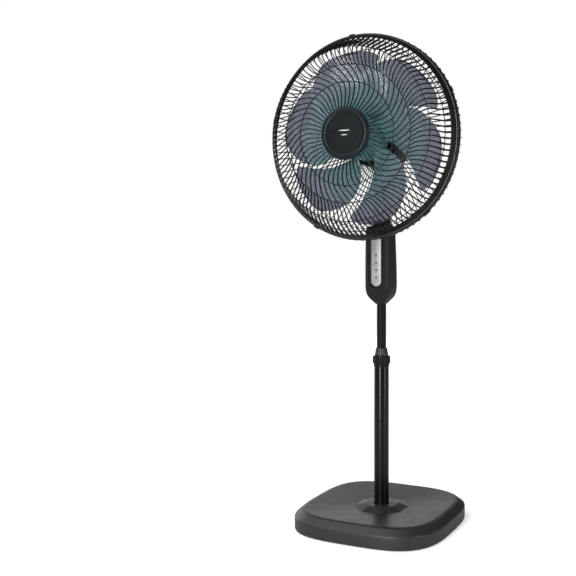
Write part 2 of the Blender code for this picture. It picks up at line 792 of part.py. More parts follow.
def add_tilt_bracket(bolt_cut):
    underside = FAN_HEIGHT - MOTOR_RADIUS - GAP
    half = TONGUE_HALF_WIDTH
    count = 32
    rings = [
        rounded_ring(half, 0.0050, 6.0, TILT_HEIGHT - 0.0115, count),
        rounded_ring(half, 0.0095, 6.0, TILT_HEIGHT - 0.0075, count),
        rounded_ring(half, 0.0120, 6.0, TILT_HEIGHT, count),
        rounded_ring(half, 0.0145, 6.0, TILT_HEIGHT + 0.0200, count),
        rounded_ring(0.0160, 0.0210, 4.0, underside - 0.0060, count),
        rounded_ring(0.0210, 0.0300, 4.0, underside, count),
    ]
    bracket = piece("tilt_bracket", lofted(rings), "black_plastic")
    combine(bracket, bolt_cut, "DIFFERENCE")


# ---------------------------------------------------------------- head
def add_motor(head):
    radius = MOTOR_RADIUS
    wall = MOTOR_WALL
    seat = BEARING_RADIUS + GAP
    front_cover = [
        (radius, MOTOR_JOIN),
        (radius, MOTOR_FRONT - 0.010),
        (radius - 0.006, MOTOR_FRONT),
        (NOSE_RADIUS, MOTOR_FRONT),
        (NOSE_RADIUS, NOSE_FRONT),
        (seat, NOSE_FRONT),
        (seat, MOTOR_FRONT - wall),
        (radius - 0.008, MOTOR_FRONT - wall),
        (radius - wall, MOTOR_FRONT - 0.012),
        (radius - wall, MOTOR_JOIN),
    ]
    piece("motor_front_cover", turned(front_cover, FINE_STEPS), "black_plastic", head)

    join = MOTOR_JOIN - GAP
    # radius as a share of the widest, distance behind the join as a share of the depth
    dome = [(1.0, 0.0), (0.99, 0.34), (0.93, 0.63), (0.78, 0.86), (0.50, 0.97)]
    depth = MOTOR_REAR + join
    outside = [(radius * r, join - depth * d) for r, d in dome] + [(0, -MOTOR_REAR)]
    inside = [((radius - wall) * r, join - (depth - wall) * d) for r, d in dome] + [(0, wall - MOTOR_REAR)]
    piece("motor_rear_cover", turned(outside[::-1] + inside, FINE_STEPS), "black_plastic", head)

    bearing_front = NOSE_FRONT - 0.002
    bore = SHAFT_RADIUS + GAP
    front_bearing = tube(BEARING_RADIUS, bore, bearing_front - BEARING_LENGTH, bearing_front, SMALL_STEPS)
    piece("front_bearing", front_bearing, "brass", head)
    bracket_rear = -0.050
    bracket_front = -0.046
    rear_radius = 0.0110
    rear_bearing = tube(rear_radius, bore, bracket_rear - 0.002, bracket_front + 0.004, SMALL_STEPS)
    piece("rear_bearing", rear_bearing, "brass", head)
    bracket = tube(radius - wall - 0.0045, rear_radius + GAP, bracket_rear, bracket_front)
    piece("bearing_bracket", bracket, "steel", head)

    half = ROTOR_LENGTH / 2
    rotor = tube(ROTOR_RADIUS, bore, -half, half)
    piece("motor_rotor", rotor, "steel", head)
    stator = tube(radius - wall - 0.0012, ROTOR_RADIUS + RUNNING, -half, half)
    piece("motor_stator", stator, "copper", head)
    shaft = disc(SHAFT_RADIUS, -SHAFT_REAR, SHAFT_FRONT)
    piece("motor_shaft", shaft, "steel", head)


def add_guards(head):
    half = GUARD_THICKNESS / 2
    rim = RIM_FORWARD
    edge = RIM_RADIUS - half
    front = [
        (0.0400, CAP_BACK - GAP - half, 0.0, True),
        (CAP_RADIUS - 0.0005, CAP_BACK - GAP - half, 0.0, False),
        (0.0850, rim + 0.0830, -3.2, False),
        (0.1105, rim + 0.0812, -0.4, True),
        (0.1140, rim + 0.0810, 0.6, False),
        (0.1310, rim + 0.0805, 7.0, False),
        (0.1480, rim + 0.0800, 13.8, True),
        (0.1515, rim + 0.0798, 14.8, False),
        (0.1700, rim + 0.0778, 17.4, False),
        (0.1865, rim + 0.0728, 18.4, True),
        (0.1895, rim + 0.0700, 18.4, False),
        (0.2085, rim + 0.0390, 18.4, True),
        (0.2105, rim + 0.0355, 18.4, False),
        (edge - 0.0010, rim + 0.0085, 18.4, True),
        (edge, rim + GAP / 2, 18.4, False),
    ]
    piece("front_guard", lattice(front, 27, 0.0045, GUARD_THICKNESS), "black_plastic", head)

    plate = MOTOR_FRONT + GAP + half
    rear = [
        (NOSE_RADIUS + RUNNING, plate, 0.0, True),
        (0.0600, plate, 0.0, False),
        (0.1250, plate + 0.0050, -8.0, True),
        (0.1280, plate + 0.0053, -8.3, False),
        (0.1900, plate + 0.0185, -13.0, True),
        (0.1930, plate + 0.0200, -13.2, False),
        (edge - 0.0050, rim - 0.0170, -14.0, False),
        (edge - 0.0010, rim - 0.0085, -14.0, True),
        (edge, rim - GAP / 2, -14.0, False),
    ]
    piece("rear_guard", lattice(rear, 20, 0.0045, GUARD_THICKNESS), "black_plastic", head)

    nut_low = plate + half + GAP
    nut = tube(NOSE_RADIUS + 0.011, NOSE_RADIUS + GAP, nut_low, nut_low + 0.0085)
    piece("guard_nut", nut, "black_plastic", head)

    low = RIM_RADIUS + GAP
    for index in range(CLIP_COUNT):
        angle = math.radians(CLIP_START + 360 * index / CLIP_COUNT)
        clip = block(
            (low, -CLIP_WIDTH / 2, rim - CLIP_LENGTH / 2),
            (low + CLIP_THICKNESS, CLIP_WIDTH / 2, rim + CLIP_LENGTH / 2),
        )
        piece(f"guard_clip_{index + 1}", clip, "black_plastic", head, (0, 0, 0), (0, 0, angle))


def add_cap(head):
    radius = CAP_RADIUS
    crest = CAP_FRONT
    floor = CAP_BACK + 0.0037
    outline = [
        (0, CAP_BACK),
        (radius - 0.0010, CAP_BACK),
        (radius, CAP_BACK + 0.0010),
        (radius - 0.0020, crest - 0.0030),
        (radius - 0.0060, crest - 0.0004),
        (radius - 0.0095, crest),
        (BADGE_RADIUS + 0.0015, crest - 0.0012),
        (BADGE_RADIUS + GAP, floor),
        (0, floor),
    ]
    piece("guard_cap", turned(outline, FINE_STEPS), "gloss_black", head)
    badge = disc(BADGE_RADIUS, floor + GAP, floor + 0.0016, FINE_STEPS)
    piece("cap_badge", badge, "black_plastic", head)


def blade_point(span, chord, side):
    """A point of one blade. Span and chord run from 0 to 1, and side is -1 behind or 1 in front."""
    root = HUB_RADIUS - 0.0022
    width = 40 + 62 * span - 56 * span**2
    sweep = -34 * span**1.3
    angle = math.radians(sweep + (chord - 0.5) * width)
    corner = abs(2 * chord - 1) ** 4
    radius = root + (BLADE_TIP_RADIUS - root) * span * (1 - 0.09 * corner * span**2)
    rise = 0.040 - 0.006 * span
    camber = 0.010 * chord * (1 - chord) * (0.4 + span)
    forward = BLADE_MIDDLE + (chord - 0.5) * rise - camber + side * BLADE_THICKNESS / 2
    return (radius * math.cos(angle), radius * math.sin(angle), forward)


def blade_mesh(spans=5, chords=6):
    """One closed blade."""
    bm = bmesh.new()
    grid = {}
    for side in (-1, 1):
        for i in range(spans + 1):
            for j in range(chords + 1):
                grid[side, i, j] = bm.verts.new(blade_point(i / spans, j / chords, side))
    for side in (-1, 1):
        for i in range(spans):
            for j in range(chords):
                corners = [grid[side, i, j], grid[side, i + 1, j], grid[side, i + 1, j + 1], grid[side, i, j + 1]]
                bm.faces.new(corners[::side])
    border = [(i, 0) for i in range(spans)]
    border += [(spans, j) for j in range(chords)]
    border += [(i, chords) for i in range(spans, 0, -1)]
    border += [(0, j) for j in range(chords, 0, -1)]
    for here, after in zip(border, border[1:] + border[:1]):
        bm.faces.new((grid[-1, *here], grid[-1, *after], grid[1, *after], grid[1, *here]))
    return bm


def add_blades(head):
    wall = 0.0025
    bore = SHAFT_RADIUS + GAP
    boss = 0.0110
    hub = [
        (HUB_RADIUS, HUB_REAR),
        (HUB_RADIUS - 0.0010, HUB_SHOULDER),
        (HUB_RADIUS - 0.0090, HUB_FRONT - 0.0030),
        (0.0250, HUB_FRONT),
        (bore, HUB_FRONT),
        (bore, 0.1000),
        (boss, 0.1000),
        (boss, HUB_FRONT - 2 * wall),
        (HUB_RADIUS - 0.0120, HUB_FRONT - 2 * wall),
        (HUB_RADIUS - 0.0010 - wall, HUB_SHOULDER - 0.001),
        (HUB_RADIUS - wall, HUB_REAR),
    ]
    blades = piece("fan_blades", turned(hub, FINE_STEPS), "aqua_plastic", head)
    for index in range(BLADE_COUNT):
        angle = 2 * math.pi * (index + 0.25) / BLADE_COUNT
        blade = helper(f"blade_{index + 1}", blade_mesh(), head, (0, 0, 0), (0, 0, angle))
        combine(blades, blade, "UNION")
    nut_low = HUB_FRONT + GAP
    tip = SHAFT_FRONT + GAP
    nut = [
        (0, tip),
        (bore, tip),
        (bore, nut_low),
        (0.0150, nut_low),
        (0.0130, tip),
        (0.0060, tip + 0.0050),
        (0, tip + 0.0060),
    ]
    piece("blade_nut", turned(nut, SMALL_STEPS), "black_plastic", head)


def main():
    clear_scene()
    add_base()
    add_post()
    add_collar()
    add_housing()
    add_panel()
    add_swivel_drive()
    bolt_cut = add_neck()
    add_tilt_bracket(bolt_cut)
    head = pivot("fan_axis", (0, 0, FAN_HEIGHT), (math.radians(90), 0, 0), post_axis())
    add_motor(head)
    add_guards(head)
    add_cap(head)
    add_blades(head)


main()
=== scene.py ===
"""The looks of a pedestal fan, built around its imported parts.

Every length is in metres, in the row frame: +Z is up and the fan blows towards -Y. Pieces of the head are
drawn in a frame of their own, whose +Z runs forward along the fan's axis and whose +Y is up, and are turned
into place.
"""

import logging
import math
from dataclasses import dataclass, field
from enum import Enum
from typing import Callable, Iterable, Sequence

import bmesh
import bpy
import numpy as np
from mathutils import Matrix, Vector


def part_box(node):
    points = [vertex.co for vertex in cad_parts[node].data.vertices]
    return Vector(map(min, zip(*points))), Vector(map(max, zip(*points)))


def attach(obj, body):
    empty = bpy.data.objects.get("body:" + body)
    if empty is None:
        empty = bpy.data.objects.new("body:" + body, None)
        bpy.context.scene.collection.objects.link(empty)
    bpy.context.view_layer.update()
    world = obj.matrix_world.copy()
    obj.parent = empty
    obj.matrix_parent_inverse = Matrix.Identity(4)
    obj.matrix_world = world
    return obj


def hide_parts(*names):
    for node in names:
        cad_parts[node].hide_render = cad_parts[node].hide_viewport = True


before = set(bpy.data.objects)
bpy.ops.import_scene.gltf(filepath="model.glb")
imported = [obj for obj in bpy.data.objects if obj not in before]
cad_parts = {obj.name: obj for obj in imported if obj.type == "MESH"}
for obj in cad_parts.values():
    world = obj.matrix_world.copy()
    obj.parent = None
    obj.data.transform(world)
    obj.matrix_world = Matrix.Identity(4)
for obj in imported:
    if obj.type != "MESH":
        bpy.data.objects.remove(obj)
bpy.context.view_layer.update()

LOG = logging.getLogger("pedestal_fan")
FULL_TURN = 2.0 * math.pi

Socket = bpy.types.NodeSocket
Point2 = tuple[float, float]
Point3 = tuple[float, float, float]
Ring = list[Point3]


# -------------------------------------------------------------------------------------- names
class Body(str, Enum):
    """The rigid bodies that a piece can ride on."""

    STAND = "stand"
    LOCK = "lock"
    MAST = "mast"
    NECK = "neck"
    HEAD = "head"
    ROTOR = "rotor"
    CRANK = "crank"
    KEY_1 = "key_1"
    KEY_2 = "key_2"
    KEY_3 = "key_3"
    KEY_4 = "key_4"


class Slot(str, Enum):
    """The record's material slots."""

    BASE = "base_plastic"
    BLACK = "black_plastic"
    GLOSS = "gloss_black"
    TUBE = "black_tube"
    RUBBER = "rubber"
    WEIGHT = "weight"
    STEEL = "steel"
    AQUA = "aqua_plastic"
    SILVER = "silver_panel"
    BOARD = "board"
    BRASS = "brass"


# -------------------------------------------------------------------------------------- finishes
class FinishGraph:
    """Wires up the nodes of one material around its Principled shader."""

    def __init__(self, name: str) -> None:
        """Starts an empty material.

        Args:
            name: The material's name.
        """
        self.material = bpy.data.materials.new(name)
        self.material.use_nodes = True
        self.tree = self.material.node_tree
        self.shader = self.tree.nodes["Principled BSDF"]
        self.place = self.tree.nodes.new("ShaderNodeTexCoord").outputs["Object"]

    def set(self, **values: object) -> None:
        """Sets plain values on the shader's own sockets.

        Args:
            values: Socket names, with underscores for spaces, and what each is set to.
        """
        for key, value in values.items():
            self.shader.inputs[key.replace("_", " ")].default_value = value

    def node(self, kind: str, **settings: object) -> bpy.types.Node:
        """Adds a node.

        Args:
            kind: The node's type.
            settings: Attributes of the node to set.

        Returns:
            The new node.
        """
        made = self.tree.nodes.new(kind)
        for key, value in settings.items():
            setattr(made, key, value)
        return made

    def link(self, source: Socket, target: Socket) -> None:
        """Joins two sockets."""
        self.tree.links.new(source, target)

    def stretched(self, along: Point3) -> Socket:
        """Scales the place vector, so that a pattern is drawn out along an axis.

        Args:
            along: The scale of each axis.

        Returns:
            The scaled place.
        """
        mapping = self.node("ShaderNodeMapping")
        mapping.inputs["Scale"].default_value = along
        self.link(self.place, mapping.inputs["Vector"])
        return mapping.outputs["Vector"]

    def noise(
        self,
        size: float,
        detail: float = 3.0,
        roughness: float = 0.5,
        place: Socket | None = None,
    ) -> Socket:
        """Adds a cloudy pattern.

        Args:
            size: How wide one cloud is, in metres.
            detail: How many finer layers it has.
            roughness: How strong the finer layers are.
            place: Where the pattern is read, or None for the plain place.

        Returns:
            The pattern's value, from 0 to 1.
        """
        texture = self.node("ShaderNodeTexNoise")
        texture.inputs["Scale"].default_value = 1.0 / size
        texture.inputs["Detail"].default_value = detail
        texture.inputs["Roughness"].default_value = roughness
        self.link(place or self.place, texture.inputs["Vector"])
        return texture.outputs["Fac"]

    def between(
        self,
        value: Socket,
        low: float,
        high: float,
        from_low: float = 0.3,
        from_high: float = 0.7,
    ) -> Socket:
        """Maps a pattern onto a range of numbers.

        Args:
            value: The pattern.
            low: The result at the pattern's low end.
            high: The result at the pattern's high end.
            from_low: The pattern's low end.
            from_high: The pattern's high end.

        Returns:
            The mapped value.
        """
        mapped = self.node("ShaderNodeMapRange")
        mapped.inputs["From Min"].default_value = from_low
        mapped.inputs["From Max"].default_value = from_high
        mapped.inputs["To Min"].default_value = low
        mapped.inputs["To Max"].default_value = high
        self.link(value, mapped.inputs["Value"])
        return mapped.outputs["Result"]

    def colours(self, value: Socket, stops: Sequence[tuple[float, Point3]]) -> Socket:
        """Maps a pattern onto a row of colours.

        Args:
            value: The pattern.
            stops: Each stop's place from 0 to 1 and its colour.

        Returns:
            The colour.
        """
        ramp = self.node("ShaderNodeValToRGB")
        elements = ramp.color_ramp.elements
        while len(elements) < len(stops):
            elements.new(0.5)
        for element, (place, colour) in zip(elements, stops):
            element.position = place
            element.color = (*colour, 1.0)
        self.link(value, ramp.inputs["Fac"])
        return ramp.outputs["Color"]

    def added(self, one: Socket, two: Socket, share: float = 1.0) -> Socket:
        """Adds a share of one pattern to another.

        Args:
            one: The first pattern.
            two: The pattern to add.
            share: How much of it to add.

        Returns:
            The sum.
        """
        adder = self.node("ShaderNodeMath", operation="MULTIPLY_ADD")
        adder.inputs[1].default_value = share
        self.link(two, adder.inputs[0])
        self.link(one, adder.inputs[2])
        return adder.outputs["Value"]

    def relief(self, height: Socket, depth: float, strength: float = 1.0) -> None:
        """Raises the surface by a pattern.

        Args:
            height: The pattern.
            depth: Its height in metres.
            strength: How strongly the relief shows.
        """
        bump = self.node("ShaderNodeBump")
        bump.inputs["Distance"].default_value = depth
        bump.inputs["Strength"].default_value = strength
        self.link(height, bump.inputs["Height"])
        self.link(bump.outputs["Normal"], self.shader.inputs["Normal"])


def shaded(colour: Point3, factor: float) -> Point3:
    """Returns a colour made lighter or darker by a factor."""
    return tuple(min(1.0, part * factor) for part in colour)


@dataclass(frozen=True)
class MouldedPlastic:
    """Injection-moulded plastic with an etched grain, slightly uneven in tone and gloss."""

    name: str
    colour: Point3
    roughness: float = 0.45
    grain: float = 0.0009
    depth: float = 0.00006
    mottle: float = 0.12
    gloss_spread: float = 0.06
    specular: float = 0.5

    def material(self) -> bpy.types.Material:
        """Returns the finished material."""
        graph = FinishGraph(self.name)
        cloud = graph.noise(0.055, 4.0, 0.6)
        stops = [(0.25, shaded(self.colour, 1 - self.mottle)), (0.75, shaded(self.colour, 1 + self.mottle))]
        graph.link(graph.colours(cloud, stops), graph.shader.inputs["Base Color"])
        wear = graph.noise(0.012, 5.0, 0.65)
        rough = graph.between(wear, self.roughness - self.gloss_spread, self.roughness + self.gloss_spread)
        graph.link(rough, graph.shader.inputs["Roughness"])
        graph.relief(graph.noise(self.grain, 2.0, 0.6), self.depth, 0.7)
        graph.set(Specular_IOR_Level=self.specular)
        return graph.material


@dataclass(frozen=True)
class LacqueredTube:
    """Steel tube under gloss lacquer, with a faint orange peel and a film of dust."""

    name: str
    colour: Point3
    roughness: float = 0.10
    peel: float = 0.0040
    depth: float = 0.00001
    specular: float = 0.32
    coat: float = 0.0
    draw: float = 0.9

    def material(self) -> bpy.types.Material:
        """Returns the finished material."""
        graph = FinishGraph(self.name)
        dust = graph.noise(0.020, 5.0, 0.6, graph.stretched((1.0, 1.0, 0.25)))
        stops = [(0.3, self.colour), (0.8, shaded(self.colour, 1.6))]
        graph.link(graph.colours(dust, stops), graph.shader.inputs["Base Color"])
        rough = graph.between(dust, self.roughness, self.roughness + 0.06)
        graph.link(rough, graph.shader.inputs["Roughness"])
        graph.relief(graph.noise(self.peel, 2.0), self.depth, 0.5)
        tangent = graph.node("ShaderNodeTangent", direction_type="RADIAL", axis="Z")
        graph.link(tangent.outputs["Tangent"], graph.shader.inputs["Tangent"])
        graph.set(Anisotropic=self.draw, Anisotropic_Rotation=0.25)
        graph.set(Specular_IOR_Level=self.specular, Coat_Weight=self.coat, Coat_Roughness=0.05)
        return graph.material


@dataclass(frozen=True)
class TintedClear:
    """See-through moulded plastic, aqua near the hub and greyer towards the tips."""

    name: str
    near: Point3
    far: Point3
    centre: Point3
    reach: float
    transmission: float = 0.82
    roughness: float = 0.10

    def material(self) -> bpy.types.Material:
        """Returns the finished material."""
        graph = FinishGraph(self.name)
        offset = graph.node("ShaderNodeVectorMath", operation="DISTANCE")
        offset.inputs[1].default_value = self.centre
        graph.link(graph.place, offset.inputs[0])
        radius = graph.between(offset.outputs["Value"], 0.0, 1.0, 0.0, self.reach)
        spread = graph.added(radius, graph.noise(0.030, 3.0), 0.10)
        middle = tuple((a + b) / 2 for a, b in zip(self.near, self.far))
        stops = [(0.30, self.near), (0.62, middle), (0.95, self.far)]
        graph.link(graph.colours(spread, stops), graph.shader.inputs["Base Color"])
        flow = graph.noise(0.008, 3.0)
        rough = graph.between(flow, self.roughness - 0.05, self.roughness + 0.08)
        graph.link(rough, graph.shader.inputs["Roughness"])
        graph.relief(flow, 0.00010, 0.2)
        graph.set(Transmission_Weight=self.transmission, IOR=1.04, Coat_Weight=0.18, Coat_Roughness=0.12)
        return graph.material


@dataclass(frozen=True)
class DrawnMetal:
    """Bare metal with fine tool lines along one axis."""

    name: str
    colour: Point3
    roughness: float = 0.32
    lines: Point3 = (1.0, 1.0, 0.05)
    depth: float = 0.00003

    def material(self) -> bpy.types.Material:
        """Returns the finished material."""
        graph = FinishGraph(self.name)
        scratches = graph.noise(0.0012, 3.0, 0.6, graph.stretched(self.lines))
        stops = [(0.3, shaded(self.colour, 0.82)), (0.7, shaded(self.colour, 1.08))]
        graph.link(graph.colours(scratches, stops), graph.shader.inputs["Base Color"])
        stain = graph.noise(0.018, 4.0)
        rough = graph.between(stain, self.roughness - 0.08, self.roughness + 0.10)
        graph.link(rough, graph.shader.inputs["Roughness"])
        graph.relief(scratches, self.depth, 0.6)
        graph.set(Metallic=1.0)
        return graph.material


@dataclass(frozen=True)
class MetallicPaint:
    """Silver paint with fine flakes, for the panel."""

    name: str
    colour: Point3
    roughness: float = 0.38
    metallic: float = 0.35

    def material(self) -> bpy.types.Material:
        """Returns the finished material."""
        graph = FinishGraph(self.name)
        flakes = graph.node("ShaderNodeTexVoronoi")
        flakes.inputs["Scale"].default_value = 1.0 / 0.00045
        graph.link(graph.place, flakes.inputs["Vector"])
        cloud = graph.added(graph.noise(0.02, 3.0), flakes.outputs["Distance"], 0.35)
        stops = [(0.3, shaded(self.colour, 0.88)), (0.9, shaded(self.colour, 1.08))]
        graph.link(graph.colours(cloud, stops), graph.shader.inputs["Base Color"])
        rough = graph.between(cloud, self.roughness - 0.06, self.roughness + 0.08)
        graph.link(rough, graph.shader.inputs["Roughness"])
        graph.relief(flakes.outputs["Distance"], 0.00002, 0.3)
        graph.set(Metallic=self.metallic)
        return graph.material


@dataclass(frozen=True)
class Rubber:
    """Matte rubber with a dusty, slightly pitted face."""

    name: str
    colour: Point3

    def material(self) -> bpy.types.Material:
        """Returns the finished material."""
        graph = FinishGraph(self.name)
        dust = graph.noise(0.006, 5.0, 0.7)
        stops = [(0.35, self.colour), (0.8, shaded(self.colour, 2.2))]
        graph.link(graph.colours(dust, stops), graph.shader.inputs["Base Color"])
        graph.link(graph.between(dust, 0.72, 0.92), graph.shader.inputs["Roughness"])
        graph.relief(graph.noise(0.0007, 2.0), 0.0001, 0.6)
        return graph.material


@dataclass(frozen=True)
class Cement:
    """Cast cement with sand and small pits."""

    name: str
    colour: Point3

    def material(self) -> bpy.types.Material:
        """Returns the finished material."""
        graph = FinishGraph(self.name)
        sand = graph.noise(0.0015, 4.0, 0.7)
        patches = graph.added(graph.noise(0.040, 4.0), sand, 0.5)
        stops = [(0.4, shaded(self.colour, 0.7)), (0.9, shaded(self.colour, 1.15))]
        graph.link(graph.colours(patches, stops), graph.shader.inputs["Base Color"])
        graph.link(graph.between(sand, 0.8, 0.98), graph.shader.inputs["Roughness"])
        graph.relief(sand, 0.0004, 0.8)
        return graph.material


@dataclass(frozen=True)
class BoardLacquer:
    """Green circuit board under lacquer, with copper tracks showing through."""

    name: str
    colour: Point3
    track: Point3

    def material(self) -> bpy.types.Material:
        """Returns the finished material."""
        graph = FinishGraph(self.name)
        tracks = graph.node("ShaderNodeTexBrick", offset=0.37, squash=0.6)
        tracks.inputs["Scale"].default_value = 60.0
        tracks.inputs["Mortar Size"].default_value = 0.03
        tracks.inputs["Color1"].default_value = (*self.colour, 1.0)
        tracks.inputs["Color2"].default_value = (*shaded(self.colour, 0.8), 1.0)
        tracks.inputs["Mortar"].default_value = (*self.track, 1.0)
        graph.link(graph.place, tracks.inputs["Vector"])
        graph.link(tracks.outputs["Color"], graph.shader.inputs["Base Color"])
        graph.link(graph.between(graph.noise(0.004), 0.25, 0.45), graph.shader.inputs["Roughness"])
        graph.relief(tracks.outputs["Fac"], 0.0001, 0.4)
        return graph.material


@dataclass(frozen=True)
class Backdrop:
    """Pale seamless paper under and behind the fan."""

    name: str
    colour: Point3
    glow: float
    in_mirrors: float = 0.45

    def material(self) -> bpy.types.Material:
        """Returns the finished material, which shiny faces mirror dimmer than it is."""
        graph = FinishGraph(self.name)
        pulp = graph.noise(0.15, 3.0)
        stops = [(0.3, shaded(self.colour, 0.99)), (0.7, self.colour)]
        mirrored = graph.node("ShaderNodeLightPath").outputs["Is Glossy Ray"]
        dimmed = graph.node("ShaderNodeVectorMath", operation="SCALE")
        graph.link(graph.colours(pulp, stops), dimmed.inputs[0])
        graph.link(graph.between(mirrored, 1.0, self.in_mirrors), dimmed.inputs["Scale"])
        graph.link(dimmed.outputs["Vector"], graph.shader.inputs["Base Color"])
        glow = graph.between(mirrored, self.glow, self.glow * self.in_mirrors)
        graph.link(glow, graph.shader.inputs["Emission Strength"])
        graph.set(Roughness=0.9, Specular_IOR_Level=0.0, Emission_Color=(1.0, 1.0, 1.0, 1.0))
        return graph.material


class FinishShelf:
    """Holds every finish and makes each material once."""

    def __init__(self, fan_centre: Point3) -> None:
        """Lists the finishes.

        Args:
            fan_centre: The middle of the blades, which their tint is measured from.
        """
        listed = [
            MouldedPlastic("base_satin", (0.014, 0.014, 0.0143), 0.42, 0.0011, 0.00005, 0.10, 0.06, 0.50),
            MouldedPlastic("guard_black", (0.005, 0.0052, 0.0056), 0.30, 0.0010, 0.00003, 0.15, 0.06, 0.20),
            MouldedPlastic("housing_satin", (0.013, 0.013, 0.0135), 0.32, 0.0009, 0.00004, 0.10, 0.06, 0.08),
            MouldedPlastic("collar_satin", (0.014, 0.014, 0.0145), 0.28, 0.0009, 0.00004, 0.12, 0.06, 0.30),
            # The bead's finish is the guard's black plastic made lighter and glossier: a painted highlight
            # line round the rim.
            MouldedPlastic("bead_painted_highlight", (0.030, 0.030, 0.031), 0.30, 0.0010, 0.00002, 0.10, 0.05, 0.40),
            MouldedPlastic("knob_black", (0.005, 0.005, 0.0055), 0.36, 0.0008, 0.00005, 0.15, 0.06, 0.15),
            MouldedPlastic("gloss_black_shell", (0.006, 0.006, 0.007), 0.16, 0.003, 0.00002, 0.1, 0.04, 0.4),
            MouldedPlastic("cap_shell", (0.006, 0.010, 0.011), 0.30, 0.0010, 0.00002, 0.10, 0.05, 0.14),
            MouldedPlastic("badge_black", (0.004, 0.0065, 0.007), 0.42, 0.0006, 0.00006, 0.12, 0.06, 0.14),
            MouldedPlastic("key_grey", (0.060, 0.062, 0.068), 0.40, 0.0008, 0.00004, 0.10),
            MouldedPlastic("ink_dark", (0.045, 0.047, 0.055), 0.50, 0.0005, 0.00001, 0.15),
            MouldedPlastic("ink_pale", (0.420, 0.440, 0.450), 0.45, 0.0005, 0.00001, 0.08),
            MouldedPlastic("motor_black", (0.010, 0.011, 0.012), 0.38, 0.0011, 0.00005, 0.12, 0.06, 0.30),
            LacqueredTube("tube_lacquer", (0.0016, 0.0016, 0.0018), 0.19, 0.0300, 0.000002),
            LacqueredTube("satin_lacquer", (0.007, 0.007, 0.0073), 0.42, 0.0300, 0.000002, 0.06, 0.0),
            TintedClear("blade_tint", (0.38, 0.74, 0.75), (0.60, 0.62, 0.74), fan_centre, 0.20),
            MetallicPaint("panel_silver", (0.30, 0.30, 0.31)),
            DrawnMetal("zinc_steel", (0.55, 0.56, 0.58)),
            DrawnMetal("turned_brass", (0.62, 0.46, 0.20), 0.30, (0.05, 1.0, 1.0)),
            Rubber("foot_rubber", (0.014, 0.014, 0.014)),
            Cement("cement_grey", (0.42, 0.41, 0.38)),
            BoardLacquer("board_green", (0.020, 0.130, 0.055), (0.45, 0.30, 0.12)),
            Backdrop("pale_paper", (0.80, 0.80, 0.80), 0.36),
        ]
        self._listed = {finish.name: finish for finish in listed}
        self._made: dict[str, bpy.types.Material] = {}

    def get(self, name: str) -> bpy.types.Material:
        """Returns a finish's material, making it the first time.

        Args:
            name: The finish's name.

        Returns:
            The material.
        """
        if name not in self._made:
            self._made[name] = self._listed[name].material()
        return self._made[name]


# -------------------------------------------------------------------------------------- outlines
def filleted(corners: Sequence[Point3], steps: int = 4, closed: bool = False) -> list[Point2]:
    """Rounds the corners of an outline.

    Args:
        corners: Each corner's two places and the radius of its rounding.
        steps: How many segments each rounding has.
        closed: Whether the last corner joins the first.

    Returns:
        The rounded outline.
    """
    outline: list[Point2] = []
    count = len(corners)
    for index, (x, y, radius) in enumerate(corners):
        at_end = not closed and index in (0, count - 1)
        if radius <= 0.0 or at_end:
            outline.append((x, y))
            continue
        here = Vector((x, y))
        before = Vector(corners[index - 1][:2]) - here
        after = Vector(corners[(index + 1) % count][:2]) - here
        if before.length < 1e-9 or after.length < 1e-9:
            outline.append((x, y))
            continue
        half = before.angle(after) / 2
        reach = min(radius / math.tan(half), 0.49 * before.length, 0.49 * after.length)
        start = here + before.normalized() * reach
        end = here + after.normalized() * reach
        for step in range(steps + 1):
            share = step / steps
            one = start.lerp(here, share)
            two = here.lerp(end, share)
            spot = one.lerp(two, share)
            outline.append((spot.x, spot.y))
    return outline


def smooth_curve(knots: Sequence[Sequence[float]], per_span: int) -> list[list[float]]:
    """Runs a smooth curve through knots of any number of values.

    Args:
        knots: The values to pass through.
        per_span: How many points each span gets.

    Returns:
        The points of the curve.
    """
    table = np.array(knots, float)
    before = 2 * table[0] - table[1]
    after = 2 * table[-1] - table[-2]
    padded = np.vstack([before, table, after])
    curve = []
    for index in range(len(table) - 1):
        p0, p1, p2, p3 = padded[index : index + 4]
        for step in range(per_span):
            t = step / per_span
            linear = (p2 - p0) * t
            square = (2 * p0 - 5 * p1 + 4 * p2 - p3) * t**2
            cube = (3 * p1 - p0 - 3 * p2 + p3) * t**3
            curve.append((0.5 * (2 * p1 + linear + square + cube)).tolist())
    curve.append(table[-1].tolist())
    return curve


def turn_angles(steps: int) -> list[float]:
    """Returns evenly spaced angles round a full turn."""
    return [FULL_TURN * step / steps for step in range(steps)]


def circle(radius: float, height: float, steps: int) -> Ring:
    """Returns a circle of points at a height."""
    return [(radius * math.cos(a), radius * math.sin(a), height) for a in turn_angles(steps)]


def lobed_circle(
    radius: float, height: float, lobes: int, steps: int, dip: float, power: float = 1.0
) -> Ring:
    """Returns a circle with evenly spaced dips.

    Args:
        radius: Its radius between the dips.
        height: Its height.
        lobes: How many dips go round.
        steps: How many points go round.
        dip: How deep each dip is.
        power: How sharply each dip narrows.

    Returns:
        The ring.
    """
    ring = []
    for angle in turn_angles(steps):
        reach = radius - dip * max(0.0, math.cos(lobes * angle)) ** power
        ring.append((reach * math.cos(angle), reach * math.sin(angle), height))
    return ring


def rounded_ring(half_x: float, half_y: float, squareness: float, height: float, count: int) -> Ring:
    """Returns the points of a rounded rectangle at one height."""
    ring = []
    for index in range(count):
        angle = FULL_TURN * index / count
        along = (abs(math.cos(angle)) / half_x) ** squareness + (abs(math.sin(angle)) / half_y) ** squareness
        radius = along ** (-1.0 / squareness)
        ring.append((radius * math.cos(angle), radius * math.sin(angle), height))
    return ring


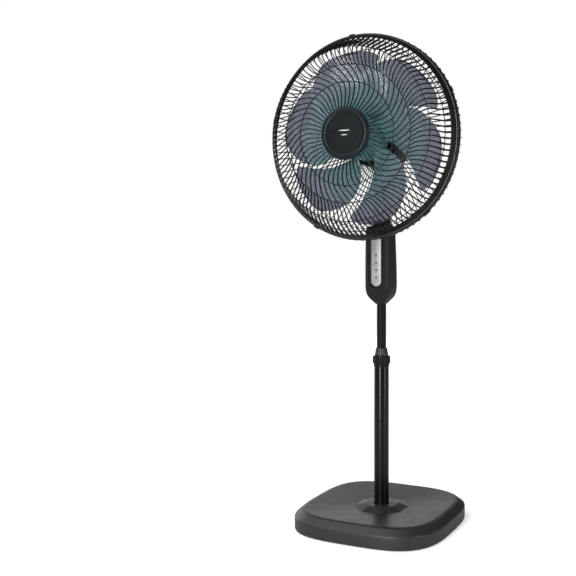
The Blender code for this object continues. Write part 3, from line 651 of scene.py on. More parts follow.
def polygon_ring(sides: int, half_width: float, corner: float, height: float, count: int) -> Ring:
    """Returns the points of a regular polygon with eased corners, a flat square to X.

    Args:
        sides: How many sides it has.
        half_width: From the middle to a flat.
        corner: How far each corner is drawn in, as a share of its reach.
        height: Its height.
        count: How many points it has.

    Returns:
        The ring.
    """
    turn = FULL_TURN / sides
    ring = []
    for index in range(count):
        angle = FULL_TURN * index / count
        from_flat = (angle + turn / 2) % turn - turn / 2
        reach = 1.0 / math.cos(from_flat)
        limit = 1.0 / math.cos(turn / 2) * (1.0 - corner)
        radius = half_width * min(reach, limit)
        ring.append((radius * math.cos(angle), radius * math.sin(angle), height))
    return ring


def blended_ring(one: Ring, two: Ring, share: float, height: float) -> Ring:
    """Returns a ring part of the way from one ring to another, at a height."""
    return [(a[0] + (b[0] - a[0]) * share, a[1] + (b[1] - a[1]) * share, height) for a, b in zip(one, two)]


def stadium(half_width: float, low: float, high: float, count: int = 16) -> list[Point2]:
    """Returns the outline of an upright slot with round ends.

    Args:
        half_width: Half its width.
        low: The height of its lower end.
        high: The height of its upper end.
        count: How many segments each round end has.

    Returns:
        The outline, in (x, z).
    """
    outline = []
    for end, middle in ((0.0, high - half_width), (math.pi, low + half_width)):
        for index in range(count + 1):
            angle = end + math.pi * index / count
            outline.append((half_width * math.cos(angle), middle + half_width * math.sin(angle)))
    return outline


# -------------------------------------------------------------------------------------- shapes
class Shape:
    """Collects the points and faces of one piece."""

    def __init__(self) -> None:
        """Starts with nothing."""
        self.points: list[Point3] = []
        self.faces: list[tuple[int, ...]] = []

    def row(self, ring: Iterable[Point3]) -> list[int]:
        """Adds a row of points and returns their numbers."""
        start = len(self.points)
        self.points.extend(tuple(point) for point in ring)
        return list(range(start, len(self.points)))

    def loft(self, rings: Sequence[Ring], endless: bool = False, capped: bool = True) -> "Shape":
        """Skins a row of closed rings of equally many points.

        Args:
            rings: The rings.
            endless: Whether the last ring joins the first.
            capped: Whether the two ends are filled.

        Returns:
            This shape.
        """
        rows = [self.row(ring) for ring in rings]
        pairs = list(zip(rows, rows[1:]))
        if endless:
            pairs.append((rows[-1], rows[0]))
        elif capped:
            self.faces.append(tuple(rows[0][::-1]))
            self.faces.append(tuple(rows[-1]))
        count = len(rows[0])
        for low, high in pairs:
            for index in range(count):
                after = (index + 1) % count
                self.faces.append((low[index], low[after], high[after], high[index]))
        return self

    def turn(self, profile: Sequence[Point2], steps: int = 64) -> "Shape":
        """Spins an outline of (radius, height) points about Z.

        Args:
            profile: The outline. It closes on the axis if both its ends lie there, and on itself otherwise.
            steps: How many segments go round.

        Returns:
            This shape.
        """
        on_axis = profile[0][0] <= 1e-7 and profile[-1][0] <= 1e-7
        inner = profile[1:-1] if on_axis else profile
        rows = []
        for radius, height in inner:
            rows.append(self.row(circle(radius, height, steps)))
        pairs = list(zip(rows, rows[1:]))
        if not on_axis:
            pairs.append((rows[-1], rows[0]))
        for low, high in pairs:
            for index in range(steps):
                after = (index + 1) % steps
                self.faces.append((low[index], low[after], high[after], high[index]))
        if on_axis:
            for row, height in ((rows[0], profile[0][1]), (rows[-1], profile[-1][1])):
                (tip,) = self.row([(0.0, 0.0, height)])
                for index in range(steps):
                    self.faces.append((row[index], row[(index + 1) % steps], tip))
        return self

    def sweep(
        self,
        path: Sequence[Vector],
        normals: Sequence[Vector],
        section: Sequence[Point2],
        widths: Sequence[float],
    ) -> "Shape":
        """Draws a section along a path, with closed ends.

        Args:
            path: The points of the path.
            normals: The way that the section's second axis faces at each point.
            section: The section's (across, out) points, one unit wide.
            widths: How wide the section is at each point.

        Returns:
            This shape.
        """
        rings = []
        last = len(path) - 1
        for index, (point, normal) in enumerate(zip(path, normals)):
            tangent = (path[min(index + 1, last)] - path[max(index - 1, 0)]).normalized()
            across = normal.cross(tangent).normalized()
            out = tangent.cross(across)
            rings.append([tuple(point + across * a * widths[index] + out * b) for a, b in section])
        return self.loft(rings)

    def prism(self, outline: Sequence[Point2], front: float, back: float, ease: float = 0.0) -> "Shape":
        """Stands an (x, z) outline up between two Y planes, with its front edge eased.

        Args:
            outline: The outline.
            front: The front plane.
            back: The back plane.
            ease: How far the front edge is rounded over.

        Returns:
            This shape.
        """
        levels = ((ease, front), (ease * 0.35, front + ease * 0.30), (0.0, front + ease), (0.0, back))
        pairs = list(zip(outline, outline_normals(outline)))
        rings = []
        for inset, depth in levels:
            rings.append([(x - inset * nx, depth, z - inset * nz) for (x, z), (nx, nz) in pairs])
        return self.loft(rings)

    def mesh(self, name: str, place: Matrix | None = None, sharp: float = 35.0) -> bpy.types.Mesh:
        """Makes the mesh, with consistent faces and smooth shading up to an angle.

        Args:
            name: The mesh's name.
            place: Where it goes, or None to leave it.
            sharp: The angle in degrees past which an edge stays sharp.

        Returns:
            The mesh.
        """
        bm = bmesh.new()
        verts = [bm.verts.new(point) for point in self.points]
        for face in self.faces:
            bm.faces.new([verts[index] for index in face])
        bmesh.ops.remove_doubles(bm, verts=bm.verts, dist=1e-6)
        bmesh.ops.recalc_face_normals(bm, faces=bm.faces)
        if place is not None:
            bmesh.ops.transform(bm, matrix=place, verts=bm.verts)
        made = bpy.data.meshes.new(name)
        bm.to_mesh(made)
        bm.free()
        made.shade_smooth()
        made.set_sharp_from_angle(angle=math.radians(sharp))
        return made


def outline_normals(outline: Sequence[Point2]) -> list[Point2]:
    """Returns the outward normal at each point of a closed outline that runs anticlockwise."""
    normals = []
    count = len(outline)
    for index in range(count):
        before = outline[index - 1]
        after = outline[(index + 1) % count]
        run = Vector((after[0] - before[0], after[1] - before[1]))
        if run.length < 1e-12:
            run = Vector((1.0, 0.0))
        run.normalize()
        normals.append((run.y, -run.x))
    return normals


def wire_section(width: float, height: float, count: int = 8) -> list[Point2]:
    """Returns the rounded section of a rib, width across and height outwards."""
    ring = rounded_ring(width / 2, height / 2, 3.0, 0.0, count)
    return [(x, y) for x, y, _ in ring]


# -------------------------------------------------------------------------------------- the frame
@dataclass(frozen=True)
class FanLayout:
    """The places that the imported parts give."""

    post: Vector
    fan: Vector
    rim_forward: float
    rim_radius: float
    base_half: float
    tube_top: float
    housing_foot: float
    housing_top: float
    tilt: Vector

    @classmethod
    def measure(cls) -> "FanLayout":
        """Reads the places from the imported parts' boxes."""
        tube_low, tube_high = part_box("outer_tube")
        shaft_low, shaft_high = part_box("motor_shaft")
        guard_low, guard_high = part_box("front_guard")
        cover_low, cover_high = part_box("base_cover")
        housing_low, housing_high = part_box("housing_front")
        bolt_low, bolt_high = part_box("tilt_bolt")
        post = Vector(((tube_low.x + tube_high.x) / 2, (tube_low.y + tube_high.y) / 2, 0.0))
        fan = Vector((post.x, post.y, (shaft_low.z + shaft_high.z) / 2))
        return cls(
            post=post,
            fan=fan,
            rim_forward=post.y - guard_high.y,
            rim_radius=(guard_high.x - guard_low.x) / 2,
            base_half=(cover_high.x - cover_low.x) / 2,
            tube_top=tube_high.z,
            housing_foot=housing_low.z,
            housing_top=housing_high.z,
            tilt=Vector((post.x, post.y, (bolt_low.z + bolt_high.z) / 2)),
        )

    def at_post(self) -> Matrix:
        """Returns the matrix from the post's own frame to the row frame."""
        return Matrix.Translation(self.post)

    def at_fan(self) -> Matrix:
        """Returns the matrix from the fan axis's own frame to the row frame."""
        return Matrix.Translation(self.fan) @ Matrix.Rotation(math.radians(90), 4, "X")


@dataclass
class SubAssembly:
    """A group of pieces that are built and dressed together."""

    layout: FanLayout
    shelf: FinishShelf
    made: list[str] = field(default_factory=list, init=False)

    def add(
        self,
        name: str,
        mesh: bpy.types.Mesh,
        finish: str,
        body: Body,
        slot: Slot,
        replaces: Sequence[str] = (),
    ) -> bpy.types.Object:
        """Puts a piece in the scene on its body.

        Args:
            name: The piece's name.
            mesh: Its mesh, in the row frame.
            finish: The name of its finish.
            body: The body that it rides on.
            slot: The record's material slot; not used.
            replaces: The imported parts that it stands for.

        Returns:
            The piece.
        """
        obj = bpy.data.objects.new(name, mesh)
        bpy.context.scene.collection.objects.link(obj)
        mesh.materials.clear()
        mesh.materials.append(self.shelf.get(finish))
        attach(obj, body.value)
        if replaces:
            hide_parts(*replaces)
        self.made.append(name)
        return obj

    def report(self) -> None:
        """Logs every piece of this group."""
        LOG.info("%s: %s", type(self).__name__, ", ".join(self.made))


# -------------------------------------------------------------------------------------- base
@dataclass
class BaseAssembly(SubAssembly):
    """The moulded cover of the base, its underside and its feet."""

    squareness: float = 3.4
    foot_gap: float = 0.0024
    side_top: float = 0.0312
    top_edge: float = 0.0440
    chamfer_run: float = 0.0153
    band_run: float = 0.0077
    band_rise: float = 0.0016
    dish: float = 0.0080
    boss_foot_half: float = 0.0595
    boss_top_half: float = 0.037
    boss_height: float = 0.008
    wall: float = 0.0025
    count: int = 192

    def build(self) -> None:
        """Builds the cover and the feet."""
        self._cover()
        self._feet()

    def _cover(self) -> None:
        """Builds the cover as one thin moulded shell."""
        half = self.layout.base_half
        lip = self.top_edge + self.band_rise
        lip_inset = self.chamfer_run + self.band_run
        dish_inset = (lip_inset + half - self.boss_foot_half) / 2
        middle = lip - self.dish / 2
        floor = lip - self.dish
        boss_top = floor + self.boss_height
        side = [
            (0.0012, self.foot_gap, 0.0),
            (0.0, self.foot_gap + 0.0030, 0.004),
            (0.0, self.side_top, 0.0045),
            (self.chamfer_run, self.top_edge, 0.0030),
            (lip_inset, lip, 0.0060),
            (dish_inset, middle, 0.0),
        ]
        rings = [self._edge(inset, z) for inset, z in filleted(side, 6)]
        outer = self._edge(dish_inset, middle)
        foot = polygon_ring(8, self.boss_foot_half, 0.012, floor, self.count)
        top = polygon_ring(8, self.boss_top_half, 0.020, boss_top, self.count)
        for share in (0.35, 0.7, 0.93):
            rings.append(blended_ring(outer, foot, share, middle + (floor - middle) * share))
        rings += self._boss(foot, top, floor, boss_top)
        hole = self.tube_radius() + 0.0004
        for radius, z in ((hole + 0.0012, boss_top), (hole, boss_top - 0.0012), (hole, boss_top - self.wall)):
            rings.append(rounded_ring(radius, radius, 2.0, z, self.count))
        rings.append(polygon_ring(8, self.boss_top_half - self.wall, 0.02, boss_top - self.wall, self.count))
        rings.append(polygon_ring(8, self.boss_foot_half - self.wall, 0.02, floor - self.wall, self.count))
        rings.append(self._edge(dish_inset, middle - self.wall))
        rings.append(self._edge(lip_inset, lip - self.wall))
        rings.append(self._edge(self.chamfer_run + self.wall, self.top_edge - self.wall))
        rings.append(self._edge(self.wall, self.side_top - self.wall / 2))
        rings.append(self._edge(self.wall, self.foot_gap))
        mesh = Shape().loft(rings, endless=True).mesh("base_shell", self.layout.at_post(), 40.0)
        self.add("base_shell", mesh, "base_satin", Body.STAND, Slot.BASE, ["base_cover"])

    def _edge(self, inset: float, height: float) -> Ring:
        """Returns the base's outline, drawn in by an inset."""
        half = self.layout.base_half - inset
        return rounded_ring(half, half, self.squareness, height, self.count)

    def _boss(self, foot: Ring, top: Ring, low: float, high: float) -> list[Ring]:
        """Returns the rings up the eight-sided boss, with eased edges at its foot and its top."""
        shares = [(0.0, 0.0), (0.06, 0.03), (0.12, 0.10), (0.5, 0.5), (0.88, 0.90), (0.95, 0.97), (1.03, 1.0)]
        return [blended_ring(foot, top, side, low + (high - low) * rise) for side, rise in shares]

    @staticmethod
    def tube_radius() -> float:
        """Returns the radius of the outer tube."""
        low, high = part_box("outer_tube")
        return (high.x - low.x) / 2

    def _feet(self) -> None:
        """Builds each rubber foot as a turned pad with a hollow middle."""
        for number in range(1, 9):
            low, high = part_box(f"rubber_foot_{number}")
            radius = (high.x - low.x) / 2
            tall = high.z - low.z
            profile = filleted(
                [
                    (0.0, tall, 0.0),
                    (radius, tall, 0.0004),
                    (radius - 0.0008, 0.0, 0.0010),
                    (radius * 0.55, 0.0, 0.0005),
                    (radius * 0.50, 0.0006, 0.0004),
                    (0.0, 0.0006, 0.0),
                ],
                4,
            )
            middle = Matrix.Translation(((low.x + high.x) / 2, (low.y + high.y) / 2, low.z))
            name = f"foot_pad_{number}"
            mesh = Shape().turn(profile, 40).mesh(name, middle)
            self.add(name, mesh, "foot_rubber", Body.STAND, Slot.RUBBER, [f"rubber_foot_{number}"])


# -------------------------------------------------------------------------------------- post
@dataclass
class PostAssembly(SubAssembly):
    """The two tubes, the collar and the lock ring."""

    steps: int = 96
    collar_wall: float = 0.0007
    neck: float = 0.0150
    cone_foot_radius: float = 0.0163
    cone_top_radius: float = 0.0133
    flutes: int = 12
    flute_depth: float = 0.0006
    grips: int = 30
    grip_depth: float = 0.0009
    grip_ease: float = 0.0022

    def build(self) -> None:
        """Builds the tubes and the collar."""
        self._tube("outer_post", "outer_tube", Body.STAND, 0.0015, "tube_lacquer")
        self._tube("inner_post", "inner_tube", Body.MAST, 0.0013, "satin_lacquer")
        self._collar()
        self._lock_ring()

    def _tube(self, name: str, node: str, body: Body, wall: float, finish: str) -> None:
        """Builds a tube with rolled edges.

        Args:
            name: The piece's name.
            node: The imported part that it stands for.
            body: The body that it rides on.
            wall: The tube's wall.
            finish: The finish's name.
        """
        low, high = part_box(node)
        radius = (high.x - low.x) / 2
        profile = filleted(
            [
                (radius, low.z, 0.0004),
                (radius, high.z, 0.0005),
                (radius - wall, high.z, 0.0005),
                (radius - wall, low.z, 0.0004),
            ],
            3,
            True,
        )
        mesh = Shape().turn(profile, self.steps).mesh(name, self.layout.at_post())
        self.add(name, mesh, finish, body, Slot.TUBE, [node])

    def _collar(self) -> None:
        """Builds the collar: a skirt on the outer tube, and a fluted cone above the ring."""
        low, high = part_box("collar_body")
        ring_low, ring_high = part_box("lock_ring")
        tube_low, tube_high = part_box("inner_tube")
        bore = (tube_high.x - tube_low.x) / 2 + 0.0003
        skirt = (high.x - low.x) / 2
        shelf = self.layout.tube_top
        cone_foot = ring_high.z + 0.0005
        shoulder = ring_low.z - 0.0005
        profile = filleted(
            [
                (self.neck, shoulder, 0.0),
                (self.neck, cone_foot, 0.0),
                (self.cone_foot_radius, cone_foot, 0.0005),
                (self.cone_foot_radius - 0.0003, cone_foot + 0.0030, 0.0010),
                (self.cone_top_radius, high.z - 0.0006, 0.0008),
                (self.cone_top_radius - 0.0007, high.z, 0.0005),
                (bore, high.z, 0.0003),
                (bore, shoulder, 0.0),
            ],
            4,
            True,
        )
        rings = []
        for radius, height in profile:
            rise = (height - cone_foot) / (high.z - cone_foot)
            on_cone = radius > bore + 0.0004 and 0.10 < rise < 0.97
            dip = self.flute_depth if on_cone else 0.0
            rings.append(lobed_circle(radius, height, self.flutes, self.flutes * 12, dip, 2))
        mesh = Shape().loft(rings, endless=True).mesh("collar", self.layout.at_post(), 50.0)
        self.add("collar", mesh, "collar_satin", Body.STAND, Slot.GLOSS, ["collar_body"])
        sleeve = filleted(
            [
                (skirt - self.collar_wall, low.z, 0.0002),
                (skirt, low.z, 0.0003),
                (skirt, shoulder, 0.0004),
                (bore, shoulder, 0.0),
                (bore, shelf + 0.0003, 0.0),
                (skirt - self.collar_wall, shelf + 0.0003, 0.0),
            ],
            4,
            True,
        )
        mesh = Shape().turn(sleeve, self.steps).mesh("collar_skirt", self.layout.at_post())
        self.add("collar_skirt", mesh, "knob_black", Body.STAND, Slot.GLOSS)

    def _lock_ring(self) -> None:
        """Builds the knurled ring that clamps the inner tube."""
        low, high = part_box("lock_ring")
        outer = (high.x - low.x) / 2
        bore = 0.0156
        profile = filleted(
            [
                (bore, low.z, 0.0),
                (outer - 0.0006, low.z, 0.0008),
                (outer, low.z + self.grip_ease, 0.0008),
                (outer, high.z - self.grip_ease, 0.0008),
                (outer - 0.0006, high.z, 0.0008),
                (bore, high.z, 0.0),
            ],
            4,
        )
        rings = []
        for radius, height in profile:
            depth = min(1.0, min(height - low.z, high.z - height) / self.grip_ease)
            dip = self.grip_depth * depth if radius > outer - 0.002 else 0.0
            rings.append(lobed_circle(radius, height, self.grips, self.grips * 8, dip, 1.5))
        mesh = Shape().loft(rings, endless=True).mesh("knurled_ring", self.layout.at_post(), 50.0)
        self.add("knurled_ring", mesh, "knob_black", Body.LOCK, Slot.BLACK, ["lock_ring"])


# -------------------------------------------------------------------------------------- control housing
@dataclass
class ControlHousing(SubAssembly):
    """The two halves of the control housing, seamed along their sides, and what is let into them."""

    front_flat: float = 0.0250
    side_half: float = 0.0303
    bevel_back: float = -0.0262
    front_depth: float = 0.0330
    back_flat: float = 0.0200
    side_reach: float = 0.72
    back_reach: float = 0.0325
    seam: float = 0.0004

    def build(self) -> None:
        """Builds both halves and the cord's grommet."""
        self._halves()
        self._grommet()
        self._screws()

    def _section(self, width: float, depth: float, back: float) -> list[tuple[float, float, float]]:
        """Returns the corners of the right half of the section, from the front to the back.

        Args:
            width: The width's share of the widest.
            depth: The front's share of the deepest.
            back: How far back it reaches.

        Returns:
            Each corner's x, y and rounding.
        """
        front = -self.front_depth * depth
        bevel = self.bevel_back * depth
        return [
            (self.front_flat * width, front, 0.0020),
            (self.side_half * width, bevel, 0.0030),
            (self.side_half * width, back * self.side_reach, 0.0090),
            (self.back_flat * width, back, 0.0080),
        ]

    def _levels(self) -> list[tuple[float, float, float, float]]:
        """Returns the levels up the housing.

        Returns:
            Each level's height and the shares of its width, its front's depth and its back's reach.
        """
        foot = self.layout.housing_foot
        tall = self.layout.housing_top - foot
        knots = [
            (0.000, 0.400, 0.360, 0.36),
            (0.012, 0.450, 0.400, 0.44),
            (0.035, 0.560, 0.520, 0.58),
            (0.065, 0.720, 0.660, 0.74),
            (0.100, 0.860, 0.800, 0.88),
            (0.150, 0.960, 0.915, 0.97),
            (0.220, 1.000, 0.985, 1.00),
            (0.320, 1.000, 1.000, 1.00),
            (0.500, 0.995, 1.000, 0.95),
            (0.700, 0.985, 1.000, 0.85),
            (0.900, 0.970, 0.985, 0.76),
            (0.965, 0.930, 0.950, 0.73),
            (1.000, 0.840, 0.860, 0.66),
        ]
        return [(foot + tall * share, *shares) for share, *shares in smooth_curve(knots, 5)]

    def _halves(self) -> None:
        """Builds the front and rear halves, each a closed shell."""
        self._recess(self._half("housing_front_shell", "housing_front", min, -self.seam / 2))
        self._half("housing_rear_shell", "housing_rear", max, self.seam / 2)

    def _half(
        self, name: str, node: str, kept: Callable[[float, float], float], cut: float
    ) -> bpy.types.Object:
        """Builds one half.

        Args:
            name: The piece's name.
            node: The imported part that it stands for.
            kept: Picks the side of the cut that is kept, as min for the front and max for the rear.
            cut: Where the section is cut.

        Returns:
            The piece.
        """
        rings = []
        for height, width, depth, back in self._levels():
            right = filleted(self._section(width, depth, self.back_reach * back), 5)
            whole = right + [(-x, y) for x, y in right[::-1]]
            rings.append([(x, kept(y, cut), height) for x, y in whole])
        mesh = Shape().loft(rings).mesh(name, self.layout.at_post(), 40.0)
        return self.add(name, mesh, "housing_satin", Body.MAST, Slot.BLACK, [node])

    def _recess(self, front: bpy.types.Object) -> None:
        """Cuts the panel's recess into the front half.

        Args:
            front: The front half.
        """
        low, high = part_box("panel_tray")
        outline = stadium((high.x - low.x) / 2 + 0.0002, low.z - 0.0002, high.z + 0.0002, 20)
        tool = Shape().prism(outline, low.y - 0.02 - self.layout.post.y, high.y - self.layout.post.y + 0.001)
        cutter = bpy.data.objects.new("recess_tool", tool.mesh("recess_tool", self.layout.at_post()))
        bpy.context.scene.collection.objects.link(cutter)
        modifier = front.modifiers.new("recess", "BOOLEAN")
        modifier.operation = "DIFFERENCE"
        modifier.solver = "EXACT"
        modifier.object = cutter
        graph = bpy.context.evaluated_depsgraph_get()
        cut = bpy.data.meshes.new_from_object(front.evaluated_get(graph))
        front.modifiers.clear()
        material = front.data.materials[0]
        front.data = cut
        cut.materials.clear()
        cut.materials.append(material)
        cut.shade_smooth()
        cut.set_sharp_from_angle(angle=math.radians(32))
        bpy.data.objects.remove(cutter)

    def _grommet(self) -> None:
        """Builds the ribbed grommet that a cord would leave by."""
        low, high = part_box("cord_grommet")
        radius = (high.x - low.x) / 2
        deep = high.y - low.y
        profile = filleted(
            [
                (0.0030, 0.0, 0.0),
                (radius * 0.69, 0.0, 0.0),
                (radius * 0.69, deep * 0.45, 0.0),
                (radius, deep * 0.47, 0.0004),
                (radius, deep * 0.58, 0.0006),
                (radius * 0.84, deep * 0.66, 0.0006),
                (radius * 0.90, deep * 0.74, 0.0006),
                (radius * 0.74, deep * 0.82, 0.0006),
                (radius * 0.78, deep * 0.90, 0.0006),
                (radius * 0.62, deep, 0.0006),
                (0.0030, deep, 0.0004),
            ],
            3,
            True,
        )
        place = Matrix.Translation(((low.x + high.x) / 2, low.y, (low.z + high.z) / 2))
        place = place @ Matrix.Rotation(math.radians(-90), 4, "X")
        mesh = Shape().turn(profile, 32).mesh("cord_gland", place)
        self.add("cord_gland", mesh, "foot_rubber", Body.MAST, Slot.RUBBER, ["cord_grommet"])

    def _screws(self) -> None:
        """Builds the screws of the rear half, with crossed heads."""
        for number in (1, 2):
            node = f"housing_screw_{number}"
            low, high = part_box(node)
            place = Matrix.Translation(((low.x + high.x) / 2, high.y, (low.z + high.z) / 2))
            place = place @ Matrix.Rotation(math.radians(-90), 4, "X")
            mesh = cross_head(f"rear_screw_{number}", (high.x - low.x) / 2, 0.0019, high.y - low.y, place)
            self.add(f"rear_screw_{number}", mesh, "zinc_steel", Body.MAST, Slot.STEEL, [node])


def cross_head(name: str, radius: float, head: float, length: float, place: Matrix) -> bpy.types.Mesh:
    """Builds a pan-head screw with a cross in its head, its top at Z zero.

    Args:
        name: The mesh's name.
        radius: The head's radius.
        head: The head's height.
        length: The whole length.
        place: Where it goes.

    Returns:
        The mesh.
    """
    steps = 32
    shank = radius * 0.52
    cross_depth = 0.0007
    cross_reach = 0.62
    arm_width = 0.42
    rings = [circle(shank, -length, steps), circle(shank, -head, steps)]
    knots = [(1.00, -1.0), (1.00, -0.55), (0.90, -0.22), (0.70, -0.04), (0.45, 0.0), (0.2, 0.0)]
    for share, level in knots:
        ring = []
        for angle, (x, y, z) in zip(turn_angles(steps), circle(radius * share, head * level, steps)):
            in_cross = abs(math.sin(2 * angle)) < arm_width and share < cross_reach
            ring.append((x, y, z - cross_depth if in_cross else z))
        rings.append(ring)
    rings.append(circle(radius * 0.02, -0.0009, steps))
    return Shape().loft(rings).mesh(name, place, 30.0)


# -------------------------------------------------------------------------------------- panel
class Mark(Enum):
    """The generic marks printed on the panel."""

    DOT = "dot"
    DASH = "dash"


@dataclass
class ControlPanel(SubAssembly):
    """The tray, the silver strip with its printed marks, and the keys."""

    lip: float = 0.0013
    recess: float = 0.0042
    ink: float = 0.00012
    key_room: float = 0.0011
    keys: int = 4
    unmarked: int = 2
    lamp_rows: int = 5

    def build(self) -> None:
        """Builds the tray, the strip, the keys and the marks."""
        self._tray()
        self._strip()
        self._keys()
        self._marks()

    def _tray(self) -> None:
        """Builds the glossy tray with its rolled lip."""
        low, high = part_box("panel_tray")
        front = low.y
        middle = self.layout.post
        half = (high.x - low.x) / 2
        steps = 24
        levels = [
            (0.0, high.y),
            (0.0, front + 0.0010),
            (0.0003, front + 0.0002),
            (0.0009, front - 0.0002),
            (0.0015, front + 0.0001),
            (0.0020, front + 0.0009),
            (0.0024, front + self.recess),
        ]
        rings = []
        for inset, y in levels:
            outline = stadium(half - inset, low.z + inset, high.z - inset, steps)
            rings.append([(x + middle.x, y, z) for x, z in outline])
        mesh = Shape().loft(rings).mesh("panel_well", None, 40.0)
        self.add("panel_well", mesh, "gloss_black_shell", Body.MAST, Slot.GLOSS, ["panel_tray"])

    def _strip(self) -> None:
        """Builds the silver strip with an eased edge."""
        low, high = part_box("panel_strip")
        outline = stadium((high.x - low.x) / 2, low.z, high.z, 24)
        shift = Matrix.Translation((self.layout.post.x, 0.0, 0.0))
        mesh = Shape().prism(outline, low.y, high.y, 0.0004).mesh("silver_strip", shift, 40.0)
        self.add("silver_strip", mesh, "panel_silver", Body.MAST, Slot.SILVER, ["panel_strip"])

    def _keys(self) -> None:
        """Builds each key as a low dished dome."""
        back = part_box("panel_tray")[0].y + self.recess - self.key_room
        for number in range(1, 5):
            low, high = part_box(f"button_{number}")
            radius = (high.x - low.x) / 2
            deep = back - low.y
            profile = filleted(
                [
                    (0.0, 0.0, 0.0),
                    (radius, 0.0, 0.0),
                    (radius, deep - 0.0003, 0.0003),
                    (radius * 0.80, deep, 0.0003),
                    (radius * 0.55, deep - 0.00025, 0.0003),
                    (0.0, deep - 0.00035, 0.0),
                ],
                4,
            )
            place = Matrix.Translation(((low.x + high.x) / 2, back, (low.z + high.z) / 2))
            place = place @ Matrix.Rotation(math.radians(90), 4, "X")
            mesh = Shape().turn(profile, 40).mesh(f"key_{number}", place)
            body = Body(f"key_{number}")
            self.add(f"key_cap_{number}", mesh, "key_grey", body, Slot.GLOSS, [f"button_{number}"])

    def _marks(self) -> None:
        """Prints a dashed line under each key but one, and two columns of marks for the lamps."""
        low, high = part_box("panel_strip")
        front = low.y
        shape = Shape()
        for number in range(1, self.keys + 1):
            if number == self.unmarked:
                continue
            key_low, key_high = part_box(f"button_{number}")
            z = (key_low.z + key_high.z) / 2
            for x in (-0.0062, -0.0035, 0.0, 0.0035, 0.0062):
                self._mark(shape, Mark.DASH, x, z - 0.0058, front, 0.0011)
        for column in (-0.0052, 0.0052):
            for row in range(self.lamp_rows):
                z = high.z - 0.0240 - row * 0.0052
                self._mark(shape, Mark.DOT, column, z, front, 0.0008)
                self._mark(shape, Mark.DASH, column + 0.0030, z, front, 0.0009)
        mesh = shape.mesh("panel_marks", Matrix.Translation((self.layout.post.x, 0.0, 0.0)), 30.0)
        self.add("panel_marks", mesh, "ink_dark", Body.MAST, Slot.GLOSS)

    def _mark(self, shape: Shape, kind: Mark, x: float, z: float, front: float, size: float) -> None:
        """Adds one printed mark, a hair proud of the strip.

        Args:
            shape: The shape that holds the marks.
            kind: Which mark it is.
            x: Its place across.
            z: Its height.
            front: The strip's front plane.
            size: Half its width.
        """
        if kind is Mark.DOT:
            outline = [(x + size * math.cos(a), z + size * math.sin(a)) for a in turn_angles(12)]
        else:
            tall = size * 0.35
            outline = [(x - size, z - tall), (x + size, z - tall), (x + size, z + tall), (x - size, z + tall)]
        front_ring = [(px, front - self.ink, pz) for px, pz in outline]
        back_ring = [(px, front + 0.0002, pz) for px, pz in outline]
        shape.loft([front_ring, back_ring])


